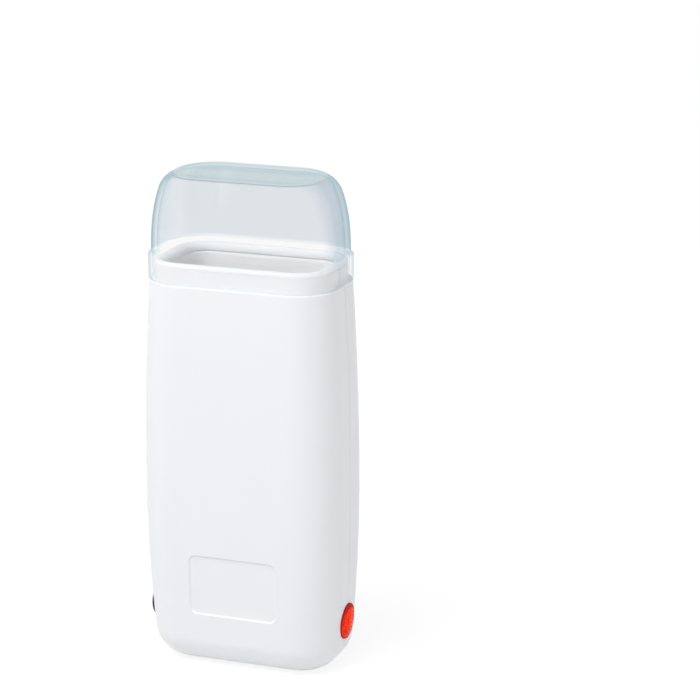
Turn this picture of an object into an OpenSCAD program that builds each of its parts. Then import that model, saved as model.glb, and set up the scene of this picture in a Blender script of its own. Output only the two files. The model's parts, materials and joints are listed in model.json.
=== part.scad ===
// Roll on wax heater: an upright two-part housing round an open-topped well,
// with a clear cover that lifts off the neck. +Z is up, -Y is the front,
// and the origin is on the table under the middle of the heater. Millimetres.

/* [Housing] */
// Room between the well liner and the shells on each narrow side, at the widest point
side_space = 5.3; // [4.8:0.1:9]
// Room between the well liner and the shells in front and behind, at the same height
front_space = 2.1; // [1.9:0.1:6]
// Height of the flat shoulder that the cover stands on
shoulder_z = 138; // [130:1:150]
// Height of the widest point of the barrel shape
belly_z = 64; // [50:1:80]
// How far each narrow side draws in from the belly to the shoulder
top_inset_w = 2.2; // [0.5:0.1:2.4]
// How far the front and back draw in from the belly to the shoulder
top_inset_d = 0.8; // [0.2:0.1:1]
// How far each narrow side draws in from the belly to the base
base_inset_w = 2.5; // [0.5:0.1:4]
// How far the front and back draw in from the belly to the base
base_inset_d = 3.2; // [0.5:0.1:5]
// How much larger the radius of the upright corners is than the neck's
corner_extra = 2.4; // [1.5:0.1:2.7]
// Radius of the rounded edge round the base
base_edge_r = 10.5; // [5:0.5:12]
// Wall thickness of both shells
wall = 2; // [1.4:0.1:2.2]
// Height of the tongue that locates the shells on each other
tongue_h = 1.2; // [0.8:0.1:2]
// Clearance round that tongue
tongue_gap = 0.15; // [0.1:0.05:0.3]

/* [Front panel] */
// Width of the recessed panel low on the front
panel_w = 31.8; // [20:0.2:40]
// Height of the recessed panel
panel_h = 21.7; // [12:0.1:30]
// Height of the middle of the panel above the table
panel_z = 31.2; // [28:0.2:80]
// Corner radius of the panel
panel_r = 2.5; // [1:0.1:5]
// Depth of the recess
panel_recess = 0.45; // [0.2:0.05:0.8]

/* [Neck and well] */
// Width of the well's opening
well_w = 55; // [50:0.2:55.4]
// Depth of the well's opening, front to back
well_d = 31; // [27:0.2:31.2]
// Corner radius of the well's opening
well_r = 7; // [4:0.2:9]
// Height of the well's floor above the table
well_floor_z = 32; // [31:0.5:45]
// Wall and floor thickness of the well liner
liner_wall = 1.6; // [1:0.1:1.6]
// Clearance between the liner and the neck, front and back and at the corners
liner_gap = 0.2; // [0.1:0.05:0.25]
// Wall thickness of the neck
neck_wall = 1.5; // [1:0.1:1.7]
// Room between the liner and the neck on each narrow side
neck_side_room = 1.7; // [1:0.1:1.9]
// Height of the neck above the shoulder
neck_h = 5.8; // [4:0.2:7]
// Height of the rim ring's crest above the neck
rim_rise = 1.6; // [1:0.1:1.8]
// Depth of the rim ring's spigot inside the neck
rim_spigot = 1.5; // [1:0.1:3]
// Clearance between that spigot and the neck
spigot_gap = 0.15; // [0.05:0.05:0.3]

/* [Clear cover] */
// Height of the cover's top above the shoulder
cover_h = 37.2; // [30:0.2:60]
// Wall thickness of the cover
cover_wall = 1.8; // [1.2:0.1:2]
// Wall thickness of the cover's skirt round the neck
skirt_wall = 1.4; // [1:0.1:1.6]
// Height of the skirt
skirt_h = 8.6; // [8:0.1:12]
// How far the skirt stands out past the shoulder's edge
skirt_proud = 0.3; // [0.1:0.05:0.6]
// Width of the small step above the skirt
cover_step = 0.8; // [0.6:0.05:1.4]
// Height of that step's slope
step_h = 1; // [0.6:0.1:1.5]
// Gap under the skirt where it stands on the shoulder
seat_gap = 0.2; // [0.05:0.05:0.4]
// How far each narrow side of the cover leans in up to the top
cover_lean_w = 4; // [1:0.1:6]
// How far the cover's front and back lean in up to the top
cover_lean_d = 4.9; // [2:0.1:6]
// Radius of the cover's top edge on the narrow sides
cover_edge_w = 6; // [3:0.5:10]
// Radius of the cover's top edge at the front and back
cover_edge_d = 3.6; // [2.5:0.1:8]

/* [Pilot lamp] */
// Height of the lamp above the table
lamp_z = 17.1; // [15:0.1:19]
// Diameter of the lens's visible rim
lens_d = 12.8; // [11:0.1:14]
// Thickness of that rim
lens_rim_t = 0.6; // [0.4:0.1:0.8]
// Diameter of the lens's barrel, which goes through the wall
lens_barrel_d = 9.6; // [8.8:0.1:10]
// Height of the lens's dome above its rim
dome_h = 0.8; // [0.3:0.1:0.9]
// Length of the lens's barrel behind its rim
lens_barrel_l = 9; // [7:0.5:12]
// Length of the neon lamp's glass
neon_l = 12; // [10:0.5:14]
// Diameter of the neon lamp's glass
neon_d = 5; // [4:0.1:5.4]
// Length of the sleeve that carries the neon lamp
holder_l = 12; // [10:0.5:14]
// Length of the lamp's resistor
resistor_l = 6; // [5:0.5:7]

/* [Inlet] */
// Height of the inlet above the table
inlet_z = 18; // [17.4:0.1:19]
// Length of the inlet's recess
recess_w = 14.6; // [13.8:0.1:15]
// Height of the inlet's recess
recess_h = 8.4; // [7.8:0.1:8.6]
// Depth of the recess
recess_depth = 11.4; // [10.5:0.1:12]
// Wall thickness of the inlet round its recess
inlet_wall = 1.1; // [0.9:0.1:1.3]
// Width of the inlet's flange beyond that wall
inlet_flange = 0.7; // [0.4:0.1:1]
// Diameter of a contact pin
pin_d = 2.36; // [2.3:0.02:2.4]
// Distance between the two contact pins
pin_pitch = 8.6; // [8.4:0.1:8.8]
// Length of a pin inside the recess
pin_l = 9.3; // [8.5:0.1:10]
// Diameter of a pin's root, where the floor of the recess holds it
pin_root_d = 2.9; // [2.6:0.1:3.4]

/* [Heating] */
// Height of the heat plates' lower ends above the well's floor
plate_lift = 8; // [4:0.5:20]
// Length of a heat plate
plate_l = 54; // [48:1:70]
// Width of a heat plate
plate_w = 17; // [15:0.2:18]
// Thickness of a heat plate's web
plate_t = 1; // [0.8:0.1:1.2]
// Thickness of a heating element in its film sleeve
element_t = 2; // [1.6:0.1:2.2]
// Width of a heating element
element_w = 12; // [9:0.2:13]
// Length of a heating element
element_l = 36; // [24:1:40]
// Thickness of a clamp spring's steel
spring_t = 0.3; // [0.2:0.05:0.4]
// Clearance between a heat plate's rails and the shells
plate_gap = 0.3; // [0.2:0.05:0.4]
// Diameter of the thermal fuse
fuse_d = 3.4; // [3:0.1:3.8]
// Length of the thermal fuse
fuse_l = 11; // [9:0.5:12]
// Diameter of the wires
wire_d = 1.5; // [1.2:0.1:1.6]
// Distance of the crimps from the middle, front to back
crimp_y = 9.4; // [9:0.1:10]

/* [Screws and feet] */
// Height of the shell screws above the table
screw_z = 7.4; // [7.2:0.1:8]
// Distance from the middle to each shell screw
screw_x = 14; // [12:0.5:18]
// Diameter of a screw's shank
screw_d = 2.8; // [2.4:0.1:3]
// Diameter of a screw's head
screw_head_d = 5; // [4.4:0.1:5.2]
// Wall of the posts round the screws
post_wall = 1.3; // [1:0.1:1.5]
// Distance from the middle to each foot, across
foot_x = 20; // [12:0.5:22]
// Distance from the middle to each foot, front to back
foot_y = 6.4; // [5:0.2:7]
// Diameter of a foot
foot_d = 7; // [5:0.2:8]
// How far a foot stands out of the base
foot_stand = 0.8; // [0.5:0.1:1.5]
// How deep a foot sits in the base
foot_sink = 1; // [0.6:0.1:1.2]

/* [Hidden] */

// Smoothness of true circles, and steps of the lofted shapes
$fn = 48;
corner_steps = 6;
edge_steps = 5;
barrel_steps = 6;
wire_sides = 10;
tiny = 0.01;

// Liner, and the housing round it: half sizes at the belly and at the shoulder
liner_a = well_w / 2 + liner_wall;
liner_b = well_d / 2 + liner_wall;
liner_r = well_r + liner_wall;
belly_a = liner_a + side_space + wall;
belly_b = liner_b + front_space + wall;
shoulder_a = belly_a - top_inset_w;
shoulder_b = belly_b - top_inset_d;

// Neck: as close round the liner as the clearances let it be
neck_a = liner_a + neck_side_room + neck_wall;
neck_b = liner_b + liner_gap + neck_wall;
neck_r = liner_r + nested_radius(neck_side_room, liner_gap, 0.75 * liner_gap) + neck_wall;
corner_r = neck_r + corner_extra;
neck_top_z = shoulder_z + neck_h;
rim_crest_z = neck_top_z + rim_rise;
liner_top_z = neck_top_z - rim_spigot;

// Cover
cover_top_z = shoulder_z + cover_h;
skirt_top_z = shoulder_z + skirt_h;

// Lamp: its axis is square to the wall, so it points a little downwards
lamp_tilt = atan(2 * base_inset_w * (belly_z - lamp_z) / pow(belly_z, 2));
lens_step = 0.1;
lens_seat_x = half_width(lamp_z) - lens_step;
lens_hole_gap = 0.15;
retainer_t = 1;
lens_bore_d = lens_barrel_d - 2.4;
holder_d = lens_bore_d - 0.4;
holder_back = -lens_barrel_l - 5;
neon_back = holder_back + 0.5;
resistor_back = holder_back - resistor_l - 2;
resistor_y = 1.3;
lamp_lead_d = 0.8;

// Inlet: faces along X, measured outwards from the middle
inlet_face_x = half_width(inlet_z) + 0.3;
recess_floor_x = inlet_face_x - recess_depth;
floor_t = 2;
inlet_back_x = recess_floor_x - floor_t;
pin_root_gap = 0.01;
inlet_flange_t = 1.2;
inlet_hole_gap = 0.1;
tab_l = 6.3;
tab_w = 4.8;
tab_t = 0.8;
terminal_l = tab_l + 2;
terminal_w = 6;
terminal_t = 3;
terminal_lift = 1;
terminal_back_x = terminal_lift + terminal_l - inlet_back_x;

// Heating stack on the narrow ends of the liner
plate_low_z = well_floor_z + plate_lift;
plate_high_z = plate_low_z + plate_l;
element_gap = 0.2;
rail_t = 0.8;
rail_y = element_w / 2 + element_gap;
lip_t = 0.5;
lip_w = 1.2;
stack_limit_x = min(inner_width(rail_y + rail_t, plate_low_z),
                    inner_width(rail_y + rail_t, plate_high_z)) - plate_gap;
element_x = liner_a + plate_t;
spring_x = element_x + element_t;
element_wire_x = element_x + element_t / 2;
element_mid_z = (plate_low_z + plate_high_z) / 2;
element_foot_z = element_mid_z - element_l / 2;

// Screws
head_room = 0.6;
screw_room = 0.1;
post_d = screw_head_d + head_room + 2 * post_wall;
post_gap = 0.2;
head_floor_y = 3;
head_h = 2;
pilot_l = 10;
tip_room = 0.5;

// Fuse under the liner's floor, and the wiring below it
liner_foot_z = well_floor_z - liner_wall;
fuse_gap = 0.1;
fuse_z = liner_foot_z - fuse_d / 2 - fuse_gap;
crimp_x = 4;
crimp_d = 4.4;
crimp_l = 6;
crimp_top_z = fuse_z - 1.5;
crimp_low_z = crimp_top_z - crimp_l;
wire_lead = 1.5;
wire_bend = 4;
wire_pair = 1.1;
fuse_wire_y = fuse_l / 2 + wire_lead;

// ---------------------------------------------------------------- shapes

// Half width and half depth of the housing at height z
function half_width(z) = barrel(z, belly_a, top_inset_w, base_inset_w);
function half_depth(z) = barrel(z, belly_b, top_inset_d, base_inset_d);
function barrel(z, middle, top_inset, base_inset) =
    z > belly_z
        ? middle - top_inset * pow((z - belly_z) / (shoulder_z - belly_z), 2)
        : middle - base_inset * pow((belly_z - z) / belly_z, 2);

// Half width of the space inside the shells at height z, at a distance y from the middle
function inner_width(y, z) =
    let (r = corner_r - wall, over = max(0, y - (half_depth(z) - wall - r)))
    half_width(z) - wall - r + sqrt(r * r - over * over);

// How much larger a corner's radius may be than the one inside it, for a clearance
// of gap in the corner and of gap_x and gap_y along the sides
function nested_radius(gap_x, gap_y, gap) =
    let (sum = gap_x + gap_y - gap)
    sum + sqrt(max(0, sum * sum - gap_x * gap_x - gap_y * gap_y + gap * gap));

// How far the rounded base edge draws the wall in at height z
function edge_inset(z, r) = z < r ? r - sqrt(r * r - (r - z) * (r - z)) : 0;

// A rounded rectangle at height z, anticlockwise, as a list of points
function outline(a, b, r, z) = [
    for (quarter = [0:3], step = [0:corner_steps])
        let (
            turn = 90 * quarter + 90 * step / corner_steps,
            side_x = quarter == 0 || quarter == 3 ? 1 : -1,
            side_y = quarter < 2 ? 1 : -1
        )
        [side_x * (a - r) + r * cos(turn), side_y * (b - r) + r * sin(turn), z]
];

// Section of the housing at height z, moved inwards by inset
function housing_section(z, inset) =
    let (draw_in = edge_inset(z, base_edge_r) + inset)
    outline(half_width(z) - draw_in, half_depth(z) - draw_in,
            max(corner_r - draw_in, 1.5), z);

// Heights of the sections from low to high, closer together round the base edge
function section_heights(low, high) =
    let (start = acos(1 - low / base_edge_r))
    concat(
        [for (i = [0:edge_steps - 1])
            base_edge_r * (1 - cos(start + (90 - start) * i / edge_steps))],
        [for (i = [0:barrel_steps])
            base_edge_r + (high - base_edge_r) * i / barrel_steps]
    );

function joined(rings) = [for (ring = rings, point = ring) point];

// Triangles between ring i and ring i + 1, of n points each
function band(i, n) = [
    for (k = [0:n - 1], half = [0, 1])
        let (a = i * n + k, b = i * n + (k + 1) % n)
        half == 0 ? [a, a + n, b + n] : [a, b + n, b]
];

// A closed solid through a stack of rings, lowest first
module loft(rings) {
    n = len(rings[0]);
    last = (len(rings) - 1) * n;
    polyhedron(
        points = joined(rings),
        faces = concat(
            [[for (k = [0:n - 1]) k]],
            [for (i = [0:len(rings) - 2]) each band(i, n)],
            [[for (k = [n - 1:-1:0]) last + k]]
        )
    );
}

// A closed loop through rings that return to the first one
module loop(rings) {
    n = len(rings[0]);
    count = len(rings);
    polyhedron(
        points = joined(rings),
        faces = [
            for (i = [0:count - 1], k = [0:n - 1], half = [0, 1])
                let (
                    j = (i + 1) % count,
                    next = (k + 1) % n,
                    a = i * n + k,
                    b = i * n + next,
                    c = j * n + next,
                    d = j * n + k
                )
                half == 0 ? [a, d, c] : [a, c, b]
        ]
    );
}

// A cup with its mouth down: outer rings and inner rings, each lowest first
module cup(outside, inside) {
    rings = concat(outside, inside);
    n = len(outside[0]);
    start = len(outside);
    top_out = (start - 1) * n;
    top_in = (len(rings) - 1) * n;
    polyhedron(
        points = joined(rings),
        faces = concat(
            [for (i = [0:start - 2]) each band(i, n)],
            [[for (k = [n - 1:-1:0]) top_out + k]],
            [for (i = [start:len(rings) - 2], triangle = band(i, n))
                [triangle[0], triangle[2], triangle[1]]],
            [[for (k = [0:n - 1]) top_in + k]],
            [for (k = [0:n - 1], half = [0, 1])
                let (next = (k + 1) % n, a = start * n + k, b = start * n + next)
                half == 0 ? [k, next, b] : [k, b, a]]
        )
    );
}

// The housing's outer form, moved inwards by inset
module housing_form(inset, low, high)
    loft([for (z = section_heights(low, high)) housing_section(z, inset)]);

// A rounded rectangle made of true arcs
module rounded_rectangle(w, d, r) {
    square([w - 2 * r, d], center = true);
    square([w, d - 2 * r], center = true);
    for (x = [-1, 1], y = [-1, 1])
        translate([x * (w / 2 - r), y * (d / 2 - r)])
            circle(r = r);
}

// An oval with two round ends, w long and h high
module oval(w, h) {
    square([w - h, h], center = true);
    for (side = [-1, 1])
        translate([side * (w - h) / 2, 0])
            circle(d = h);
}

// Turns a profile drawn in XY so that it stands in YZ and grows along +X
module along_x(x, y, z) translate([x, y, z]) rotate([90, 0, 90]) children();

function unit(v) = v / norm(v);

// The direction of a wire at each of its points, halfway between the runs that meet there
function wire_runs(points) =
    let (last = len(points) - 1)
    [for (i = [0:last])
        unit((i > 0 ? unit(points[i] - points[i - 1]) : [0, 0, 0])
             + (i < last ? unit(points[i + 1] - points[i]) : [0, 0, 0]))];

// A direction square to each run, turned as little as possible from the one before it
function wire_lifts(runs, i, before) =
    i == len(runs) ? []
        : let (lift = unit(before - (before * runs[i]) * runs[i]))
            concat([lift], wire_lifts(runs, i + 1, lift));

// A round wire along a list of points
module wire(points, d) {
    runs = wire_runs(points);
    lifts = wire_lifts(runs, 0, abs(runs[0][2]) < 0.9 ? [0, 0, 1] : [0, 1, 0]);
    loft([
        for (i = [0:len(points) - 1]) [
            for (k = [0:wire_sides - 1])
                let (turn = 360 * k / wire_sides)
                points[i] + d / 2 * (cos(turn) * lifts[i] + sin(turn) * cross(runs[i], lifts[i]))
        ]
    ]);
}

// ---------------------------------------------------------------- housing

// Both shells as one hollow form, neck included
module hollow_housing() {
    difference() {
        union() {
            housing_form(0, foot_stand, shoulder_z);
            translate([0, 0, shoulder_z - wall / 2])
                linear_extrude(neck_h + wall / 2)
                    rounded_rectangle(2 * neck_a, 2 * neck_b, neck_r);
        }
        housing_form(wall, foot_stand + wall, shoulder_z - wall);
        translate([0, 0, shoulder_z - 2 * wall])
            linear_extrude(neck_h + 2 * wall + 1)
                rounded_rectangle(2 * (neck_a - neck_wall), 2 * (neck_b - neck_wall),
                                  neck_r - neck_wall);
    }
}

// A slab from the seam towards the front (-1) or the back (1)
module half_space(side, from, to)
    translate([-2 * belly_a, side > 0 ? from : -to, -1])
        cube([4 * belly_a, to - from, cover_top_z]);

// Locating tongue on the front shell, inside half of the wall
module seam_tongue()
    intersection() {
        difference() {
            housing_form(wall / 2, foot_stand + wall / 2, shoulder_z - wall / 2);
            housing_form(wall, foot_stand + wall, shoulder_z - wall);
            translate([0, 0, shoulder_z - 2 * wall])
                linear_extrude(4 * wall)
                    square([2 * neck_a, 3 * belly_b], center = true);
        }
        half_space(1, -tiny, tongue_h);
    }

// The groove for it in the rear shell
module seam_groove()
    intersection() {
        housing_form(wall / 2 - tongue_gap, foot_stand + wall / 2 - tongue_gap,
                     shoulder_z - wall / 2 + tongue_gap);
        difference() {
            half_space(1, -1, tongue_h + tongue_gap);
            translate([0, 0, shoulder_z - 2 * wall])
                linear_extrude(4 * wall)
                    square([2 * neck_a - 2 * tongue_gap, 3 * belly_b], center = true);
        }
    }

// Places what is drawn along +Z on the lamp's axis, x outwards from the lens's seat
module on_lamp_axis(x)
    translate([lens_seat_x, 0, lamp_z])
        rotate([0, 90 + lamp_tilt, 0])
            translate([0, 0, x])
                children();

// Hole through the right wall for the lens's barrel, and the flat seat of its rim
module lens_cuts() {
    on_lamp_axis(-3 * wall)
        cylinder(d = lens_barrel_d + 2 * lens_hole_gap, h = 6 * wall);
    on_lamp_axis(0)
        cylinder(d = lens_d + 2 * lens_hole_gap, h = 2 * wall);
}

// Hole through the left wall for the inlet, and the seat of its flange
module inlet_cuts()
    mirror([1, 0, 0]) {
        along_x(inlet_face_x - 3 * wall, 0, inlet_z)
            linear_extrude(6 * wall)
                oval(recess_w + 2 * (inlet_wall + inlet_hole_gap),
                     recess_h + 2 * (inlet_wall + inlet_hole_gap));
        along_x(inlet_face_x - inlet_flange_t, 0, inlet_z)
            linear_extrude(2 * wall)
                oval(recess_w + 2 * (inlet_wall + inlet_flange + inlet_hole_gap),
                     recess_h + 2 * (inlet_wall + inlet_flange + inlet_hole_gap));
    }

// Shallow round seats for the feet
module foot_seats()
    for (x = [-1, 1], y = [-1, 1])
        translate([x * foot_x, y * foot_y, foot_stand - 1])
            cylinder(d = foot_d + 0.2, h = foot_sink + 1);

// The recess follows the front face at a constant depth
module panel_cut()
    difference() {
        translate([0, 0, panel_z])
            rotate([90, 0, 0])
                linear_extrude(2 * belly_b)
                    rounded_rectangle(panel_w, panel_h, panel_r);
        loft([
            for (i = [-4:4])
                let (z = panel_z + (panel_h / 2 + 1) * i / 4)
                housing_section(z, panel_recess)
        ]);
    }

// Posts for the screws, from the seam to the shell's wall and trimmed to its curve
module screw_posts(side)
    intersection() {
        for (x = [-screw_x, screw_x])
            translate([x, side > 0 ? post_gap / 2 : -post_gap / 2, screw_z])
                rotate([-90 * side, 0, 0])
                    cylinder(d = post_d, h = belly_b);
        housing_form(wall / 2, foot_stand + wall / 2, screw_z + post_d);
    }

// Pads inside a shell that hold the liner front and back
module liner_pads(side) {
    pad_w = 10;
    pad_h = 1.6;
    pad_margin = 4;
    for (z = [well_floor_z + pad_margin, belly_z, shoulder_z - 5 * pad_margin], x = [-1, 1])
        let (reach = half_depth(z) - wall / 2 - liner_b - liner_gap)
        translate([x * well_w / 4 - pad_w / 2,
                   side > 0 ? liner_b + liner_gap : -liner_b - liner_gap - reach,
                   z])
            cube([pad_w, reach, pad_h]);
}

// Ledges inside a shell that the liner's floor stands on
module liner_ledges(side) {
    ledge_w = 4;
    ledge_h = 2;
    ledge_hold = 5;
    ledge_z = liner_foot_z - ledge_h;
    reach = half_depth(ledge_z) - wall / 2 - liner_b + ledge_hold;
    for (x = [-1, 1])
        translate([x * (liner_a - liner_r - ledge_w) - ledge_w / 2,
                   side > 0 ? liner_b - ledge_hold : -liner_b + ledge_hold - reach,
                   ledge_z])
            cube([ledge_w, reach, ledge_h]);
}

module front_shell()
    color([0.93, 0.94, 0.955])
        difference() {
            union() {
                intersection() {
                    hollow_housing();
                    half_space(-1, 0, 2 * belly_b);
                }
                seam_tongue();
                screw_posts(-1);
                liner_pads(-1);
                liner_ledges(-1);
            }
            panel_cut();
            lens_cuts();
            inlet_cuts();
            foot_seats();
            for (x = [-screw_x, screw_x])
                translate([x, 1, screw_z])
                    rotate([90, 0, 0])
                        cylinder(d = screw_d + screw_room, h = pilot_l + 1);
        }

module rear_shell()
    color([0.92, 0.93, 0.945])
        difference() {
            union() {
                intersection() {
                    hollow_housing();
                    half_space(1, 0, 2 * belly_b);
                }
                screw_posts(1);
                liner_pads(1);
                liner_ledges(1);
            }
            seam_groove();
            lens_cuts();
            inlet_cuts();
            foot_seats();
            for (x = [-screw_x, screw_x])
                translate([x, 0, screw_z])
                    rotate([-90, 0, 0]) {
                        translate([0, 0, -1])
                            cylinder(d = screw_d + head_room, h = 2 * belly_b);
                        translate([0, 0, head_floor_y])
                            cylinder(d = screw_head_d + head_room, h = 2 * belly_b);
                    }
        }

// ---------------------------------------------------------------- well and neck

// A ring round the well between its opening (u = 0) and the neck's edge (u = 1)
function rim_section(u, z) =
    outline(
        well_w / 2 + u * (neck_a - well_w / 2),
        well_d / 2 + u * (neck_b - well_d / 2),
        well_r + u * (neck_r - well_r),
        z
    );

// The spigot's outer face, a clearance inside the neck
function spigot_section(z) =
    let (inset = neck_wall + spigot_gap)
    outline(neck_a - inset, neck_b - inset, neck_r - inset, z);

module rim_ring() {
    crest_u = 0.55;
    arc_steps = 4;
    color([0.95, 0.955, 0.96])
        loop(concat(
            [spigot_section(liner_top_z), spigot_section(neck_top_z), rim_section(1, neck_top_z)],
            [for (i = [1:arc_steps])
                let (turn = 90 * i / arc_steps)
                rim_section(crest_u + (1 - crest_u) * cos(turn),
                            neck_top_z + rim_rise * sin(turn))],
            [for (i = [1:arc_steps])
                let (turn = 90 * i / arc_steps)
                rim_section(crest_u - crest_u * sin(turn),
                            liner_top_z + tiny + (rim_crest_z - liner_top_z) * cos(turn))],
            [rim_section(0, liner_top_z)]
        ));
}

module well_liner()
    color([0.9, 0.915, 0.93])
        difference() {
            translate([0, 0, liner_foot_z])
                linear_extrude(liner_top_z - liner_foot_z)
                    rounded_rectangle(2 * liner_a, 2 * liner_b, liner_r);
            translate([0, 0, well_floor_z])
                linear_extrude(liner_top_z)
                    rounded_rectangle(well_w, well_d, well_r);
        }

// ---------------------------------------------------------------- clear cover

// How far an edge of radius r round the top draws a wall in, at a depth below the top
function top_edge_inset(depth, r) =
    r > 0 && depth < r ? r - sqrt(r * r - (r - depth) * (r - depth)) : 0;

// Section of the cover above its step at height z, moved inwards by inset
function cover_section(z, inset) =
    let (
        foot = skirt_top_z + step_h,
        rise = (z - foot) / (cover_top_z - foot),
        depth = cover_top_z - inset - z,
        edge_a = top_edge_inset(depth, cover_edge_w - inset),
        edge_b = top_edge_inset(depth, cover_edge_d - inset),
        draw_in = cover_step - skirt_proud + inset,
        a = shoulder_a - draw_in - edge_a - cover_lean_w * pow(rise, 3),
        b = shoulder_b - draw_in - edge_b - cover_lean_d * pow(rise, 1.85),
        r = corner_r + skirt_proud - inset - (edge_a + edge_b) / 2
    )
    outline(a, b, min(r, b - 0.4), z);

// Section of the skirt at height z, moved inwards by inset
function skirt_section(z, inset) =
    outline(shoulder_a + skirt_proud - inset, shoulder_b + skirt_proud - inset,
            corner_r + skirt_proud - inset, z);

// Heights from the step to the top, closer together round the top edge
function cover_heights(low, top, edge_r) =
    concat(
        [for (i = [0:4]) low + (top - edge_r - low) * i / 5],
        [for (i = [0:edge_steps]) top - edge_r + edge_r * sin(88 * i / edge_steps)]
    );

module clear_cover() {
    low_z = shoulder_z + seat_gap;
    step_z = skirt_top_z + step_h;
    outside = concat(
        [skirt_section(low_z, 0), skirt_section(skirt_top_z, 0)],
        [for (z = cover_heights(step_z, cover_top_z, cover_edge_w)) cover_section(z, 0)]
    );
    inside = concat(
        [skirt_section(low_z, skirt_wall), skirt_section(skirt_top_z, skirt_wall)],
        [for (z = cover_heights(step_z, cover_top_z - cover_wall, cover_edge_w - cover_wall))
            cover_section(z, cover_wall)]
    );
    color([0.81, 0.88, 0.9, 0.45])
        cup(outside, inside);
}

// ---------------------------------------------------------------- pilot lamp

module pilot_lens() {
    dome_inset = 0.8;
    face_t = 0.4;
    dome_r = lens_d / 2 - dome_inset;
    ball_r = (dome_r * dome_r + dome_h * dome_h) / (2 * dome_h);
    color([1, 0.3, 0.1])
        on_lamp_axis(0)
            rotate_extrude()
                difference() {
                    union() {
                        square([lens_d / 2, lens_rim_t]);
                        translate([0, -lens_barrel_l])
                            square([lens_barrel_d / 2, lens_barrel_l + tiny]);
                        intersection() {
                            translate([0, lens_rim_t + dome_h - ball_r])
                                circle(r = ball_r, $fn = 96);
                            translate([0, lens_rim_t - tiny])
                                square([dome_r, 2 * dome_h]);
                        }
                    }
                    translate([0, -lens_barrel_l - 1])
                        square([lens_bore_d / 2, lens_barrel_l + 1 - face_t]);
                }
}

// Push-on ring that grips the barrel behind the wall
module lens_retainer() {
    ring_w = 1.7;
    slot_w = 0.8;
    slot_l = 1;
    color([0.85, 0.86, 0.87])
        on_lamp_axis(-wall - lens_hole_gap - 2 * retainer_t)
            difference() {
                cylinder(d = lens_barrel_d + 2 * ring_w, h = retainer_t);
                translate([0, 0, -1])
                    cylinder(d = lens_barrel_d + 0.1, h = retainer_t + 2);
                for (turn = [0:60:300])
                    rotate([0, 0, turn])
                        translate([lens_barrel_d / 2, -slot_w / 2, -1])
                            cube([slot_l, slot_w, retainer_t + 2]);
            }
}

// Sleeve that carries the neon lamp inside the lens's barrel
module lamp_holder()
    color([0.9, 0.9, 0.88])
        on_lamp_axis(holder_back)
            difference() {
                cylinder(d = holder_d, h = holder_l);
                translate([0, 0, -1])
                    cylinder(d = neon_d + 2 * lens_hole_gap, h = holder_l + 2);
            }

module neon_lamp()
    color([1, 0.62, 0.4])
        on_lamp_axis(neon_back)
            rotate_extrude() {
                square([neon_d / 2, neon_l - neon_d / 2]);
                intersection() {
                    translate([0, neon_l - neon_d / 2])
                        circle(d = neon_d);
                    square([neon_d, neon_l]);
                }
            }

module lamp_resistor() {
    body_r = 0.95;
    cap_r = 1.15;
    cap_l = 1.4;
    color([0.75, 0.62, 0.45])
        on_lamp_axis(resistor_back)
            translate([0, resistor_y, 0])
                rotate_extrude() {
                    square([body_r, resistor_l]);
                    square([cap_r, cap_l]);
                    translate([0, resistor_l - cap_l])
                        square([cap_r, cap_l]);
                }
}

// ---------------------------------------------------------------- inlet

module inlet_housing()
    color([0.07, 0.07, 0.08])
        mirror([1, 0, 0])
            difference() {
                union() {
                    along_x(inlet_back_x, 0, inlet_z)
                        linear_extrude(inlet_face_x - inlet_back_x)
                            oval(recess_w + 2 * inlet_wall, recess_h + 2 * inlet_wall);
                    along_x(inlet_face_x - inlet_flange_t, 0, inlet_z)
                        linear_extrude(inlet_flange_t)
                            oval(recess_w + 2 * (inlet_wall + inlet_flange),
                                 recess_h + 2 * (inlet_wall + inlet_flange));
                }
                along_x(recess_floor_x, 0, inlet_z)
                    linear_extrude(recess_depth + 1)
                        oval(recess_w, recess_h);
                for (y = [-pin_pitch / 2, pin_pitch / 2])
                    along_x(inlet_back_x - 1, y, inlet_z)
                        cylinder(d = pin_root_d + 2 * pin_root_gap, h = floor_t + 2);
            }

module inlet_pins()
    color([0.8, 0.8, 0.78])
        for (y = [-pin_pitch / 2, pin_pitch / 2]) {
            mirror([1, 0, 0])
                along_x(inlet_back_x, y, inlet_z)
                    rotate_extrude()
                        polygon([
                            [0, 0],
                            [pin_root_d / 2, 0],
                            [pin_root_d / 2, floor_t],
                            [pin_d / 2, floor_t],
                            [pin_d / 2, floor_t + pin_l - pin_d / 4],
                            [pin_d / 4, floor_t + pin_l],
                            [0, floor_t + pin_l]
                        ]);
            translate([-inlet_back_x, y - tab_t / 2, inlet_z - tab_w / 2])
                cube([tab_l, tab_t, tab_w]);
        }

// Receptacles pushed over the two tabs
module push_on_terminals() {
    slot_gap = 0.05;
    color([0.78, 0.76, 0.66])
        for (y = [-pin_pitch / 2, pin_pitch / 2])
            translate([terminal_lift - inlet_back_x, y, inlet_z])
                difference() {
                    translate([0, -terminal_t / 2, -terminal_w / 2])
                        cube([terminal_l, terminal_t, terminal_w]);
                    translate([-1, -tab_t / 2 - slot_gap, -tab_w / 2 - slot_gap])
                        cube([tab_l + 1 + slot_gap, tab_t + 2 * slot_gap, tab_w + 2 * slot_gap]);
                }
}

// ---------------------------------------------------------------- heating

// Aluminium channel on one narrow end of the liner: web, two rails, two lips
module heat_plate()
    translate([0, 0, plate_low_z])
        linear_extrude(plate_l) {
            translate([liner_a, -plate_w / 2])
                square([plate_t, plate_w]);
            for (side = [0, 1])
                mirror([0, side]) {
                    translate([liner_a, rail_y])
                        square([stack_limit_x - liner_a, rail_t]);
                    translate([stack_limit_x - lip_t, rail_y + rail_t - lip_w])
                        square([lip_t, lip_w]);
                }
        }

module ptc_element()
    translate([element_x, -element_w / 2, element_foot_z])
        cube([element_t, element_w, element_l]);

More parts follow.
